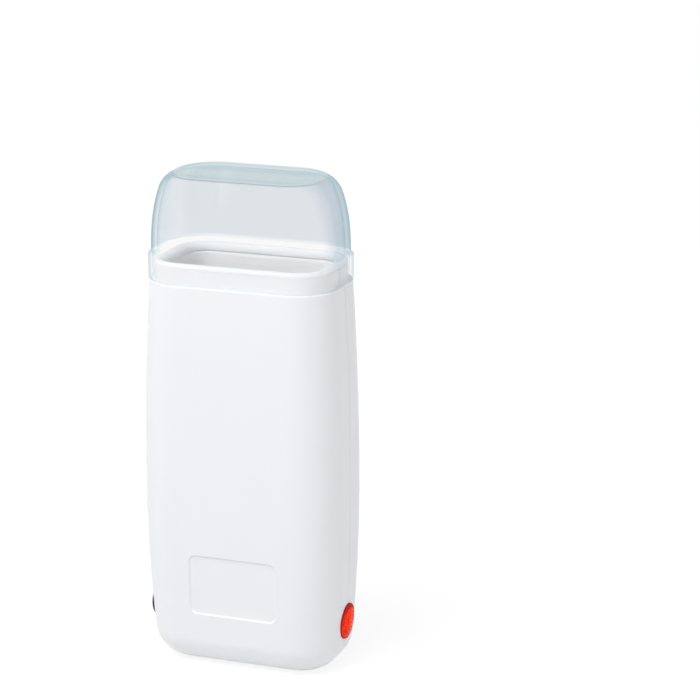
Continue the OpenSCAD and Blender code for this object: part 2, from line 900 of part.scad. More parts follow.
// Leaf bowed between the lips and the element: a shallow arc with flat ends
module clamp_spring() {
    room = stack_limit_x - lip_t - spring_x;
    bow = room - spring_t;
    half = element_w / 2 - 0.1;
    bow_r = (half * half + bow * bow) / (2 * bow);
    translate([0, 0, element_mid_z - element_l / 3])
        linear_extrude(2 * element_l / 3)
            intersection() {
                translate([spring_x, -half])
                    square([room, 2 * half]);
                translate([spring_x + bow_r, 0])
                    difference() {
                        circle(r = bow_r, $fn = 240);
                        circle(r = bow_r - spring_t, $fn = 240);
                    }
            }
}

module left_heat_plate() color([0.75, 0.76, 0.78]) mirror([1, 0, 0]) heat_plate();
module right_heat_plate() color([0.75, 0.76, 0.78]) heat_plate();
module left_ptc_element() color([0.72, 0.5, 0.2]) mirror([1, 0, 0]) ptc_element();
module right_ptc_element() color([0.72, 0.5, 0.2]) ptc_element();
module left_clamp_spring() color([0.6, 0.6, 0.62]) mirror([1, 0, 0]) clamp_spring();
module right_clamp_spring() color([0.6, 0.6, 0.62]) clamp_spring();

// One-shot fuse lying under the liner's floor, front to back
module thermal_fuse()
    color([0.85, 0.8, 0.7])
        translate([0, -fuse_l / 2, fuse_z])
            rotate([-90, 0, 0])
                cylinder(d = fuse_d, h = fuse_l);

// Saddle that presses the fuse against the floor
module fuse_clip() {
    clip_t = 0.6;
    clip_l = 5;
    flange_w = 3.2 * fuse_d;
    bore_d = fuse_d + 0.1;
    color([0.7, 0.7, 0.72])
        translate([0, clip_l / 2, 0])
            rotate([90, 0, 0])
                linear_extrude(clip_l)
                    difference() {
                        union() {
                            translate([0, fuse_z])
                                circle(d = bore_d + 2 * clip_t);
                            translate([-bore_d / 2 - clip_t, fuse_z])
                                square([bore_d + 2 * clip_t, liner_foot_z - fuse_z]);
                            translate([-flange_w / 2, liner_foot_z - clip_t])
                                square([flange_w, clip_t]);
                        }
                        translate([0, fuse_z])
                            circle(d = bore_d);
                        translate([-bore_d / 2, fuse_z])
                            square([bore_d, fuse_d]);
                    }
}

// ---------------------------------------------------------------- wiring

// A point on the lamp's axis or beside it, x outwards from the lens's seat
function lamp_point(x, y) =
    [lens_seat_x + x * cos(lamp_tilt), y, lamp_z - x * sin(lamp_tilt)];

// From the inlet to the front end of the fuse
module live_wire()
    color([0.45, 0.25, 0.12])
        wire([
            [terminal_back_x, -pin_pitch / 2, inlet_z],
            [terminal_back_x + wire_lead, -pin_pitch / 2, inlet_z],
            [terminal_back_x + 2 * wire_lead, -pin_pitch / 2, inlet_z + wire_lead],
            [-wire_lead, -fuse_wire_y, fuse_z - wire_lead],
            [0, -fuse_wire_y, fuse_z],
            [0, -fuse_l / 2, fuse_z]
        ], wire_d);

// From the inlet down and across to the front crimp
module neutral_wire()
    color([0.2, 0.35, 0.7])
        wire([
            [terminal_back_x, pin_pitch / 2, inlet_z],
            [terminal_back_x + wire_lead, pin_pitch / 2, inlet_z],
            [terminal_back_x + wire_bend, pin_pitch / 2 - wire_bend, inlet_z - wire_bend],
            [0, -pin_pitch / 2 - wire_lead, inlet_z - wire_bend],
            [crimp_x - wire_pair, -crimp_y, crimp_low_z - 2 * wire_lead],
            [crimp_x - wire_pair, -crimp_y, crimp_low_z]
        ], wire_d);

// From one crimp to the element on one narrow side
module element_link(end, side) {
    start_x = -end * crimp_x + side * wire_pair;
    link_y = 2 * end * wire_d;
    link_z = crimp_top_z + wire_lead / 2;
    wire([
        [start_x, end * crimp_y, crimp_top_z],
        [start_x, end * crimp_y, link_z],
        [start_x + side * wire_lead, end * crimp_y, link_z + wire_lead / 2],
        [side * (element_wire_x - wire_bend / 2), link_y, link_z],
        [side * element_wire_x, link_y, link_z + wire_bend / 2],
        [side * element_wire_x, link_y, element_foot_z]
    ], wire_d);
}

// The four links from the crimps to the elements, and the fuse's way to the rear crimp
module element_link_wires()
    color([0.85, 0.3, 0.2]) {
        for (end = [-1, 1], side = [-1, 1])
            element_link(end, side);
        wire([
            [0, fuse_l / 2, fuse_z],
            [0, fuse_wire_y, fuse_z],
            [0, fuse_wire_y + wire_d / 2, fuse_z - wire_lead],
            [0, fuse_wire_y + wire_d / 2, crimp_low_z],
            [(wire_pair - crimp_x) / 2, crimp_y - wire_d / 2, crimp_low_z - 2 * wire_lead],
            [wire_pair - crimp_x, crimp_y, crimp_low_z - wire_lead],
            [wire_pair - crimp_x, crimp_y, crimp_low_z]
        ], wire_d);
    }

// The lamp's leads: one to the front crimp, one by way of the resistor to the rear one
module lamp_wires()
    color([0.9, 0.9, 0.88]) {
        wire([
            lamp_point(neon_back, -resistor_y),
            lamp_point(neon_back - wire_lead, -resistor_y),
            lamp_point(resistor_back, wire_lead - crimp_y),
            [crimp_x + wire_pair, -crimp_y, crimp_low_z - wire_lead],
            [crimp_x + wire_pair, -crimp_y, crimp_low_z]
        ], lamp_lead_d);
        on_lamp_axis(resistor_back + resistor_l)
            translate([0, resistor_y, 0])
                cylinder(d = lamp_lead_d, h = neon_back - resistor_back - resistor_l);
        wire([
            lamp_point(resistor_back, resistor_y),
            lamp_point(resistor_back - wire_lead, resistor_y),
            [-crimp_x - wire_pair, crimp_y, crimp_low_z - 3 * wire_lead],
            [-crimp_x - wire_pair, crimp_y, crimp_low_z]
        ], lamp_lead_d);
    }

// Closed crimps that join the wires in front of and behind the fuse
module crimp_sleeves()
    color([0.8, 0.82, 0.84])
        for (end = [-1, 1])
            translate([-end * crimp_x, end * crimp_y, crimp_low_z])
                cylinder(d = crimp_d, h = crimp_l);

// ---------------------------------------------------------------- screws, feet

module shell_screws() {
    slot_l = 3;
    slot_w = 0.7;
    slot_depth = 1.2;
    color([0.72, 0.73, 0.75])
        for (x = [-screw_x, screw_x])
            translate([x, 0, screw_z])
                rotate([-90, 0, 0])
                    difference() {
                        union() {
                            translate([0, 0, tip_room - pilot_l])
                                cylinder(d = screw_d, h = pilot_l - tip_room + head_floor_y);
                            translate([0, 0, head_floor_y])
                                cylinder(d = screw_head_d, h = head_h);
                        }
                        for (turn = [0, 90])
                            rotate([0, 0, turn])
                                translate([-slot_l / 2, -slot_w / 2,
                                           head_floor_y + head_h - slot_depth])
                                    cube([slot_l, slot_w, 2 * slot_depth]);
                    }
}

module rubber_feet() {
    edge = 0.4;
    foot_h = foot_stand + foot_sink;
    color([0.2, 0.2, 0.21])
        for (x = [-1, 1], y = [-1, 1])
            translate([x * foot_x, y * foot_y, 0])
                rotate_extrude() {
                    square([foot_d / 2 - edge, foot_h]);
                    translate([0, edge])
                        square([foot_d / 2, foot_h - edge]);
                }
}

front_shell();
rear_shell();
rim_ring();
well_liner();
clear_cover();
pilot_lens();
lens_retainer();
lamp_holder();
neon_lamp();
lamp_resistor();
inlet_housing();
inlet_pins();
push_on_terminals();
left_heat_plate();
right_heat_plate();
left_ptc_element();
right_ptc_element();
left_clamp_spring();
right_clamp_spring();
thermal_fuse();
fuse_clip();
live_wire();
neutral_wire();
element_link_wires();
lamp_wires();
crimp_sleeves();
shell_screws();
rubber_feet();
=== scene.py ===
# %% [markdown]
# # A roll-on wax heater, dressed round its CAD frame
# The heater is an upright white housing of two moulded shells round a deep well for a wax
# cartridge. A clear cover stands on its shoulder, and a red lamp lens sits low on the right side.
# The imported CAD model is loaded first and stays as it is: every piece made below sits in the same
# frame, in metres, and rides on one of its two bodies, the heater or the cover.

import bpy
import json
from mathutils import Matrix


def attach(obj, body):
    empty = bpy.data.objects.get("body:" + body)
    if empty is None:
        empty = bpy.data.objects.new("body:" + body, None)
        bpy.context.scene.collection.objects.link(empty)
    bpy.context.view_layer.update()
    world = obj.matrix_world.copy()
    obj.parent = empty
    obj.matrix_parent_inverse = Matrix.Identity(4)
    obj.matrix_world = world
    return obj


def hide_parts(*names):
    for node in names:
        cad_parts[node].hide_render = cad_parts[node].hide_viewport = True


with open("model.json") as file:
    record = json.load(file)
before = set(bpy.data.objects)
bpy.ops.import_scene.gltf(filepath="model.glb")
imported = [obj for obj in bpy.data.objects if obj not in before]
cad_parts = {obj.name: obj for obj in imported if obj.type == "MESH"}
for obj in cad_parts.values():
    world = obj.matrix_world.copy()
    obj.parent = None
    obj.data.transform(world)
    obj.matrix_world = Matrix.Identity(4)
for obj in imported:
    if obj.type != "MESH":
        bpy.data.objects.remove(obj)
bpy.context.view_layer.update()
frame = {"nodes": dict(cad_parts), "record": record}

# %% Modules and units
import json
import math

import bpy
from mathutils import Matrix, Vector

MM = 0.001
RIGHT_ANGLE = math.pi / 2
scene = bpy.context.scene

# %% [markdown]
# ## Camera
# The photograph looks down on the heater from in front and a little to its right, from about a
# metre away with a long lens, so its uprights stay nearly parallel. The camera is made first, as
# everything else is judged through it. A small shift puts the heater left of the middle, as in the
# photograph, without turning the camera.

# %% Camera
PHOTO_SIDE, FOCAL_PIXELS, SENSOR_MM = 700, 2800, 36
AIM = Vector((0, 0, 95)) * MM
AIM_PIXEL = (252.14, 397.84)
azimuth, pitch, roll = (math.radians(a) for a in (22.03, 16.37, -0.53))
distance = 972.5 * MM

away = Vector((math.sin(azimuth) * math.cos(pitch), -math.cos(azimuth) * math.cos(pitch),
               math.sin(pitch)))
camera_data = bpy.data.cameras.new("camera")
camera_data.sensor_width = SENSOR_MM
camera_data.lens = SENSOR_MM * FOCAL_PIXELS / PHOTO_SIDE
camera_data.shift_x = 0.5 - AIM_PIXEL[0] / PHOTO_SIDE
camera_data.shift_y = AIM_PIXEL[1] / PHOTO_SIDE - 0.5
camera_data.clip_end = 20
camera = bpy.data.objects.new("camera", camera_data)
scene.collection.objects.link(camera)
turn = away.to_track_quat("Z", "Y").to_matrix().to_4x4()
stand = Matrix.Translation(AIM + distance * away) @ turn
camera.matrix_world = stand @ Matrix.Rotation(roll, 4, "Z")
scene.camera = camera
print("camera at", [round(c, 3) for c in camera.matrix_world.translation])

# %% [markdown]
# ## Small helpers
# Colours are written as sRGB hex values, as one picks them from a picture, and one function turns
# them to the linear values that the shaders want. Another function adds a node to any tree with
# its settings and its links, so that a tree reads as a list of what it does. A sum is written as a
# rule, a list of steps that each name their result, and a third function turns it into Math nodes.

# %% Helpers for colours and nodes
def linear(hex_code):
    """The linear colour, with alpha, of an sRGB hex code such as F1F2F5."""
    shares = [int(hex_code[i:i + 2], 16) / 255 for i in (0, 2, 4)]
    return tuple(c / 12.92 if c <= 0.04045 else ((c + 0.055) / 1.055) ** 2.4
                 for c in shares) + (1.0,)


def add(tree, kind, links=None, **settings):
    """A new node with its settings; links maps an input to a value, a socket or several sockets."""
    node = tree.nodes.new(kind)
    for name, value in settings.items():
        setattr(node, name, value)
    for name, value in (links or {}).items():
        for source in value if isinstance(value, list) else [value]:
            if isinstance(source, bpy.types.NodeSocket):
                tree.links.new(source, node.inputs[name])
            else:
                node.inputs[name].default_value = source
    return node


def work_out(tree, known, rule):
    """Adds a Math node for each step of a rule; known holds what each name stands for so far."""
    for name, operation, *terms in rule:
        values = {i: known[t] if isinstance(t, str) else t for i, t in enumerate(terms)}
        known[name] = add(tree, "ShaderNodeMath", values, operation=operation).outputs[0]
    return known


def empty_material(name):
    """A new material, and its tree with nothing in it yet."""
    material = bpy.data.materials.new(name)
    material.use_nodes = True
    material.node_tree.nodes.clear()
    return material, material.node_tree


# %% [markdown]
# ## Finishes
# Nearly everything on the heater is injection moulded plastic. Such a surface is never quite even:
# it has a slow waviness from the way it cools, the orange peel, and a fine grain from the tool.
# The recipe below draws both from noise in object coordinates, whose scales are worked out from
# real sizes in millimetres, and lets the noise move the roughness a little as well. The relief
# is a tenth as deep as its waves are wide, before its strength is applied.

# %% A moulded, drawn or pressed surface
NOISE_LOW, NOISE_HIGH = 0.3, 0.7
RELIEF = 0.1


def finish(name, colour, roughness, ior=1.5, metallic=0.0, peel_mm=9.0, peel=0.02,
           grain_mm=0.5, grain=0.01, stretch=(1, 1, 1), uneven=0.04, **sockets):
    """A procedural material: colour, two scales of bump, and a roughness that wanders a little."""
    material, tree = empty_material(name)
    place = add(tree, "ShaderNodeTexCoord").outputs["Object"]
    place = add(tree, "ShaderNodeMapping", {"Vector": place, "Scale": stretch}).outputs[0]
    slow, fine = (add(tree, "ShaderNodeTexNoise",
                      {"Vector": place, "Scale": 1 / (size * MM), "Detail": detail}).outputs["Fac"]
                  for size, detail in ((peel_mm, 1.0), (grain_mm, 3.0)))
    rough = add(tree, "ShaderNodeMapRange",
                {"Value": slow, "From Min": NOISE_LOW, "From Max": NOISE_HIGH,
                 "To Min": roughness - uneven, "To Max": roughness + uneven}).outputs[0]
    relief = add(tree, "ShaderNodeBump",
                 {"Height": slow, "Distance": peel_mm * MM * RELIEF, "Strength": peel}).outputs[0]
    relief = add(tree, "ShaderNodeBump",
                 {"Height": fine, "Distance": grain_mm * MM * RELIEF, "Strength": grain,
                  "Normal": relief}).outputs[0]
    links = {"Base Color": linear(colour), "Roughness": rough, "Metallic": metallic,
             "Normal": relief}
    if not metallic:
        links["IOR"] = ior
    links.update({socket.replace("_", " ").title().replace("Ior", "IOR"): value
                  for socket, value in sockets.items()})
    shader = add(tree, "ShaderNodeBsdfPrincipled", links).outputs[0]
    add(tree, "ShaderNodeOutputMaterial", {"Surface": shader})
    return material


# %% [markdown]
# The shells are white ABS from a polished tool, which gives a satin gloss with faint orange peel.
# The rim is glossier polypropylene, and the well's liner a duller one that is nearly pure white.

# %% Plastics of the housing
FINISHES = {
    "shell_white": finish("ABS moulded satin white", "F2F3F6", 0.32, ior=1.54,
                          peel_mm=16, peel=0.004, grain_mm=1.4, grain=0.003),
    "rim_white": finish("Polypropylene moulded gloss white", "F3F3F6", 0.22,
                        peel_mm=8, peel=0.006, grain_mm=1.2, grain=0.003),
    "liner_white": finish("Polypropylene moulded grey white", "FCFCFD", 0.34,
                          peel_mm=14, peel=0.002, grain_mm=1.6, grain=0.0015),
    "inlet_black": finish("Polyamide moulded black", "17181B", 0.42, ior=1.53,
                          grain_mm=0.7, grain=0.05),
    "foot_rubber": finish("Silicone rubber dark", "303033", 0.62, ior=1.41,
                          grain_mm=0.9, grain=0.08),
}

# %% [markdown]
# Metals keep the default index of refraction. Drawn brass, rolled aluminium and spring steel are
# marked along the direction in which they were worked, so their noise is stretched that way.

# %% Metals inside and on the back
FINISHES.update({
    "nickel_brass": finish("Brass nickel plated", "D9D4C8", 0.24, metallic=1.0, grain_mm=1.2,
                           stretch=(0.15, 1, 1), grain=0.05),
    "plate_aluminium": finish("Aluminium extruded", "CFD2D6", 0.36, metallic=1.0, grain_mm=0.8,
                              stretch=(1, 1, 0.06), grain=0.09),
    "spring_steel": finish("Spring steel rolled", "A7AAAE", 0.3, metallic=1.0, grain_mm=0.9,
                           stretch=(1, 1, 0.08), grain=0.07),
    "screw_steel": finish("Screw steel zinc plated", "C9CDD3", 0.28, metallic=1.0, grain_mm=0.7,
                          grain=0.06),
    "fuse_case": finish("Fuse case tinned", "D8D2C4", 0.34, metallic=1.0, grain_mm=1.0, grain=0.04),
})

# %% [markdown]
# The electrical parts that sit out of sight inside are given their usual stuff as well, so that an
# opened or exploded view looks right: amber polyimide film, coloured silicone sleeves, a lacquered
# resistor and the thin glass of the neon lamp.

# %% Inner electrical parts
FINISHES.update({
    "film_amber": finish("Polyimide film amber", "C8821F", 0.22, ior=1.7, peel_mm=4, peel=0.04),
    "sleeve_brown": finish("Silicone sleeve brown", "6B3F26", 0.45, ior=1.42, grain_mm=0.6),
    "sleeve_blue": finish("Silicone sleeve blue", "2A56A8", 0.45, ior=1.42, grain_mm=0.6),
    "sleeve_red": finish("Glass braid sleeve red", "B2402F", 0.6, ior=1.45,
                         grain_mm=0.6, grain=0.15),
    "sleeve_clear": finish("Silicone sleeve milky", "E6E6E2", 0.4, ior=1.42, grain_mm=0.6),
    "resistor_tan": finish("Resistor lacquer tan", "C9AE7C", 0.35, ior=1.52,
                           peel_mm=2, peel=0.05),
    "lamp_glass": finish("Neon lamp glass", "F5D9C6", 0.06, ior=1.5, peel=0.0,
                         transmission_weight=0.85),
})

# %% [markdown]
# The lens is clear red styrene with a neon lamp behind it. Its middle glows orange, and its rim
# is deep red: painted shade towards the top and bottom of the dome, and deeper plastic where one
# looks along it. Both colours are mixed by the distance from a point just under the lens's axis,
# and again by small cells that paint shade into the facets' valleys. A weak emission stands for
# the lamp's light.

# %% Lens plastic
LAMP_Z, LAMP_TILT, LENS_SEAT_X = 17.1, math.radians(3.28), 34.96
GLOW_DROP, GLOW_STRETCH = 0.5, (0, 0.85, 1)
# These numbers set the painted shade in the valleys between the facets.
VALLEY_SHADE_FROM, VALLEY_SHADE_TO, VALLEY_SHADE_SHARE = 0.35, 0.8, 0.7


def lens_plastic(name, middle, rim, rim_shade_from, rim_shade_to, facet_mm, glow):
    """Clear plastic lit from behind, with one colour in its middle and painted shade at its rim."""
    material = finish(name, middle, 0.12, ior=1.59, peel_mm=2, peel=0.02,
                      specular_ior_level=0.01, emission_strength=glow)
    tree = material.node_tree
    shader = next(n for n in tree.nodes if n.type == "BSDF_PRINCIPLED")
    place = add(tree, "ShaderNodeTexCoord").outputs["Object"]
    spot = add(tree, "ShaderNodeVectorMath",
               {0: place, 1: (0, 0, (GLOW_DROP - LAMP_Z) * MM)}).outputs[0]
    flat = add(tree, "ShaderNodeVectorMath", {0: spot, 1: GLOW_STRETCH},
               operation="MULTIPLY").outputs[0]
    far = add(tree, "ShaderNodeVectorMath", {0: flat}, operation="LENGTH").outputs["Value"]
    # The rim's painted shade grows with the distance from the glow's middle.
    edge = add(tree, "ShaderNodeMapRange",
               {"Value": far, "From Min": rim_shade_from * MM, "From Max": rim_shade_to * MM}).outputs[0]
    cells = add(tree, "ShaderNodeTexVoronoi",
                {"Vector": spot, "Scale": 1 / (facet_mm * MM),
                 "Randomness": 0.6}).outputs["Distance"]
    # Painted shade in each facet's valley, mixed towards the rim colour.
    valley_shade = add(tree, "ShaderNodeMapRange",
                 {"Value": cells, "From Min": VALLEY_SHADE_FROM, "From Max": VALLEY_SHADE_TO,
                  "To Max": VALLEY_SHADE_SHARE}).outputs[0]
    edge = add(tree, "ShaderNodeMath", {0: edge, 1: valley_shade}, operation="MAXIMUM").outputs[0]
    colour = add(tree, "ShaderNodeMix", {"Factor": edge, 6: linear(middle), 7: linear(rim)},
                 data_type="RGBA").outputs[2]
    for socket in ("Base Color", "Emission Color"):
        tree.links.new(colour, shader.inputs[socket])
    return material


# The rim colour A60F15 is painted shade, deepest at the top and bottom of the dome.
FINISHES["lens_red"] = lens_plastic("Styrene clear red", "FF3600", "A60F15", rim_shade_from=4.6,
                                    rim_shade_to=5.6, facet_mm=1.5, glow=0.3)


# %% [markdown]
# The cover is clear styrene with a breath of blue-green. One could let the light bend in its walls,
# but a wall of this thickness hardly shifts what is behind it, while its edges would trap the light
# and draw hard dark lines that the soft light of the photograph doesn't have. So the light goes
# straight through, and the colour deepens with the slope at which a wall is crossed, as the way
# through the plastic gets longer. The gloss grows with the slope as well. Each tint has its places,
# given as zones, and the skirt stays clearest. The inner faces carry an attribute, named inside: a
# wall's tint is given to its outer face, so that the strip of solid plastic along the outline is as
# deep as the rest. The tint of the rear walls is partly painted shade: it darkens the white ground
# seen through the cover, as dimmer surroundings behind it would. A fine darker line is painted
# shade at the bend from the front wall into the roof, where the bend would turn the light away.

# %% Clear cover plastic
COVER_FOOT, COVER_STEP, COVER_TOP, COVER_ROOF = 138.2, 146.6, 175.2, 1.8
STEEP_FROM, STEEP_TO = 0.48, 0.82
INNER_SHARE = 0.35


def clear_plastic(name, clear, tints_and_shade, zones, gloss_least=0.05, gloss_most=0.18, wave_mm=14):
    """See-through plastic; each tint, painted shade among them, holds where all of the zones named
    with it do.
    """
    material, tree = empty_material(name)
    place = add(tree, "ShaderNodeTexCoord").outputs["Object"]
    spot = add(tree, "ShaderNodeSeparateXYZ", {0: place}).outputs
    known = {
        "front to rear": spot["Y"], "up": spot["Z"],
        "inside": add(tree, "ShaderNodeAttribute", attribute_name="inside").outputs["Fac"],
        "slope": add(tree, "ShaderNodeLayerWeight", {"Blend": 0.5}).outputs["Facing"],
    }
    known = work_out(tree, known, [
        ("off the middle", "ABSOLUTE", "front to rear"),
        ("outside", "SUBTRACT", 1.0, "inside"),
        ("mostly outside", "MULTIPLY_ADD", "outside", 1 - INNER_SHARE, INNER_SHARE),
        ("shine", "POWER", "slope", 5.0),
        ("shine", "MULTIPLY_ADD", "shine", gloss_most - gloss_least, gloss_least),
    ])
    known["steep"] = add(tree, "ShaderNodeMapRange",
                         {"Value": known["slope"], "From Min": STEEP_FROM, "From Max": STEEP_TO},
                         interpolation_type="SMOOTHSTEP").outputs[0]
    for label, (way, low, high, least, most) in zones.items():
        known[label] = add(tree, "ShaderNodeMapRange",
                           {"Value": known[way], "From Min": low * MM, "From Max": high * MM,
                            "To Min": least, "To Max": most}).outputs[0]
    wall = linear(clear)
    for tint, (first, *others) in tints_and_shade.items():
        known["amount"] = known[first]
        known = work_out(tree, known, [("amount", "MULTIPLY", "amount", zone) for zone in others])
        wall = add(tree, "ShaderNodeMix", {"Factor": known["amount"], 6: wall, 7: linear(tint)},
                   data_type="RGBA").outputs[2]
    slow = add(tree, "ShaderNodeTexNoise",
               {"Vector": place, "Scale": 1 / (wave_mm * MM), "Detail": 1.0}).outputs["Fac"]
    relief = add(tree, "ShaderNodeBump",
                 {"Height": slow, "Distance": 1 * MM, "Strength": 0.02}).outputs[0]
    through = add(tree, "ShaderNodeBsdfTransparent", {"Color": wall}).outputs[0]
    mirror = add(tree, "ShaderNodeBsdfGlossy",
                 {"Color": linear("FFFFFF"), "Roughness": 0.03, "Normal": relief}).outputs[0]
    seen = add(tree, "ShaderNodeMixShader",
               {0: known["shine"], 1: through, 2: mirror}).outputs[0]
    lamps = add(tree, "ShaderNodeBsdfTransparent", {"Color": linear("FDFEFE")}).outputs[0]
    is_shadow = add(tree, "ShaderNodeLightPath").outputs["Is Shadow Ray"]
    surface = add(tree, "ShaderNodeMixShader", {0: is_shadow, 1: seen, 2: lamps}).outputs[0]
    add(tree, "ShaderNodeOutputMaterial", {"Surface": surface})
    return material


COVER_ZONES = {
    # The rear walls' tint is partly painted shade on the white ground seen through the cover.
    "rear": ("front to rear", -13, -6, 0, 1),
    "above skirt": ("up", COVER_STEP - 0.5, COVER_STEP + 1.5, 0, 1),
    "edge above skirt": ("up", COVER_STEP - 0.5, COVER_STEP + 1.5, 0.45, 1),
    "corner": ("off the middle", 4, 8, 0.4, 1),
    "roof": ("up", COVER_TOP - 0.9, COVER_TOP - 0.6, 0, 1),
    # Painted shade: a fine darker line along the bend from the front wall into the roof.
    "line from": ("up", COVER_TOP - 1.5, COVER_TOP - 1.4, 0, 1),
    "line to": ("up", COVER_TOP - 1.1, COVER_TOP - 1.0, 1, 0),
    "line front": ("front to rear", -2, 2, 1, 0),
}
COVER_TINTS_AND_SHADE = {
    # E0E6EC is partly the plastic's tint and partly painted shade on what is seen through the cover.
    "E0E6EC": ("rear", "above skirt", "outside"),
    "C2D7DC": ("steep", "corner", "edge above skirt", "mostly outside"),
    "EAF3F2": ("roof", "outside"),
    # DCE2E4 is painted shade, the darker line at the bend into the roof.
    "DCE2E4": ("line from", "line to", "line front", "outside"),
}
FINISHES["clear_plastic"] = clear_plastic("Styrene clear aqua", "FEFEFE", COVER_TINTS_AND_SHADE, COVER_ZONES)
print("finishes:", len(FINISHES))

# %% [markdown]
# ## The rule of the barrel
# The housing, its neck, the well and the cover are one family of shapes: a stack of rounded
# rectangles whose half width and half depth change with height by a rule. From the widest point
# they draw in towards both ends, a rounded edge closes the base or the top, and the cover has a
# small step besides. One Geometry Nodes tree holds the rule. It starts from a flat grid whose
# columns go round the outline and whose rows go up, works out where each grid point belongs, and
# moves it there.

# %% Sizes that the rule takes
SKIN = {
    "Half width": 0.03, "Half depth": 0.02, "Corner radius": 0.01,
    "Floor": 0.0, "Low": 0.0, "High": 0.1, "Belly": 0.05, "Draw top": 0.1,
    "Base draw width": 0.0, "Base draw depth": 0.0, "Top draw width": 0.0, "Top draw depth": 0.0,
    "Top power width": 2.0, "Top power depth": 2.0,
    "Base edge": 0.0003, "Top edge width": 0.0003, "Top edge depth": 0.0003,
    "Step height": 0.0, "Step rise": 0.001, "Step width": 0.0,
    "Corner steps": 24, "Side steps": 8, "Rows": 100,
}
BASE_SHARE, TOP_SHARE = 0.2, 0.2

COLUMN_RULE = [
    ("column", "ROUND", "grid x"),
    ("steps", "ADD", "Corner steps", "Side steps"),
    ("quarter", "DIVIDE", "column", "steps"),
    ("quarter", "FLOOR", "quarter"),
    ("passed", "MULTIPLY", "quarter", "steps"),
    ("local", "SUBTRACT", "column", "passed"),
    ("arc", "DIVIDE", "local", "Corner steps"),
    ("arc", "MINIMUM", "arc", 1.0),
    ("side", "SUBTRACT", "local", "Corner steps"),
    ("side", "MAXIMUM", "side", 0.0),
    ("side", "DIVIDE", "side", "Side steps"),
    ("turn", "ADD", "quarter", "arc"),
    ("turn", "MULTIPLY", "turn", RIGHT_ANGLE),
    ("diagonal", "MULTIPLY_ADD", "quarter", RIGHT_ANGLE, RIGHT_ANGLE / 2),
    ("next", "ADD", "diagonal", RIGHT_ANGLE),
]
for axis, wave in (("x", "COSINE"), ("y", "SINE")):
    COLUMN_RULE += [
        (f"{axis} here", wave, "diagonal"),
        (f"{axis} here", "SIGN", f"{axis} here"),
        (f"{axis} there", wave, "next"),
        (f"{axis} there", "SIGN", f"{axis} there"),
        (f"{axis} way", "SUBTRACT", f"{axis} there", f"{axis} here"),
        (f"{axis} side", "MULTIPLY_ADD", "side", f"{axis} way", f"{axis} here"),
        (f"{axis} arc", wave, "turn"),
    ]

# %% [markdown]
# The rows come closer together round the two edges. The first and the last row shrink to a point,
# which closes the form at both ends.

# %% Rule of the rows
ROW_RULE = [
    ("row", "ROUND", "grid y"),
    ("last row", "ADD", "Rows", 2.0),
    ("to end", "SUBTRACT", "last row", "row"),
    ("to end", "MINIMUM", "to end", 1.0),
    ("open", "MINIMUM", "row", 1.0),
    ("open", "MULTIPLY", "open", "to end"),
    ("ring", "SUBTRACT", "row", 1.0),
    ("ring", "MAXIMUM", "ring", 0.0),
    ("ring", "MINIMUM", "ring", "Rows"),
    ("v", "DIVIDE", "ring", "Rows"),
    ("lift", "SUBTRACT", "Low", "Floor"),
    ("lift", "DIVIDE", "lift", "Base edge"),
    ("start", "SUBTRACT", 1.0, "lift"),
    ("start", "ARCCOSINE", "start"),
    ("sweep", "SUBTRACT", RIGHT_ANGLE, "start"),
    ("base", "DIVIDE", "v", BASE_SHARE),
    ("base", "MINIMUM", "base", 1.0),
    ("base turn", "MULTIPLY_ADD", "base", "sweep", "start"),
    ("base z", "COSINE", "base turn"),
    ("base z", "SUBTRACT", 1.0, "base z"),
    ("base z", "MULTIPLY", "base z", "Base edge"),
    ("base in", "SINE", "base turn"),
    ("base in", "SUBTRACT", 1.0, "base in"),
    ("base in", "MULTIPLY", "base in", "Base edge"),
    ("straight", "SUBTRACT", "v", BASE_SHARE),
    ("straight", "DIVIDE", "straight", 1 - BASE_SHARE - TOP_SHARE),
    ("straight", "MAXIMUM", "straight", 0.0),
    ("straight", "MINIMUM", "straight", 1.0),
    ("top edge", "MAXIMUM", "Top edge width", "Top edge depth"),
    ("reach", "SUBTRACT", "High", "Floor"),
    ("reach", "SUBTRACT", "reach", "Base edge"),
    ("reach", "SUBTRACT", "reach", "top edge"),
    ("top", "SUBTRACT", "v", 1 - TOP_SHARE),
    ("top", "DIVIDE", "top", TOP_SHARE),
    ("top", "MAXIMUM", "top", 0.0),
    ("top", "MULTIPLY", "top", RIGHT_ANGLE),
    ("top", "SINE", "top"),
    ("z", "ADD", "Floor", "base z"),
    ("z", "MULTIPLY_ADD", "straight", "reach", "z"),
    ("z", "MULTIPLY_ADD", "top", "top edge", "z"),
    ("depth", "SUBTRACT", "High", "z"),
    ("below", "SUBTRACT", "Belly", "z"),
    ("below", "MAXIMUM", "below", 0.0),
    ("below", "DIVIDE", "below", "Belly"),
    ("below", "MULTIPLY", "below", "below"),
    ("above", "SUBTRACT", "z", "Belly"),
    ("above", "MAXIMUM", "above", 0.0),
    ("span", "SUBTRACT", "Draw top", "Belly"),
    ("above", "DIVIDE", "above", "span"),
    ("step", "SUBTRACT", "z", "Step height"),
    ("step", "DIVIDE", "step", "Step rise"),
    ("step", "MAXIMUM", "step", 0.0),
    ("step", "MINIMUM", "step", 1.0),
    ("ease", "MULTIPLY", "step", "step"),
    ("fall", "MULTIPLY_ADD", "step", -2.0, 3.0),
    ("step", "MULTIPLY", "ease", "fall"),
    ("step", "MULTIPLY", "step", "Step width"),
]
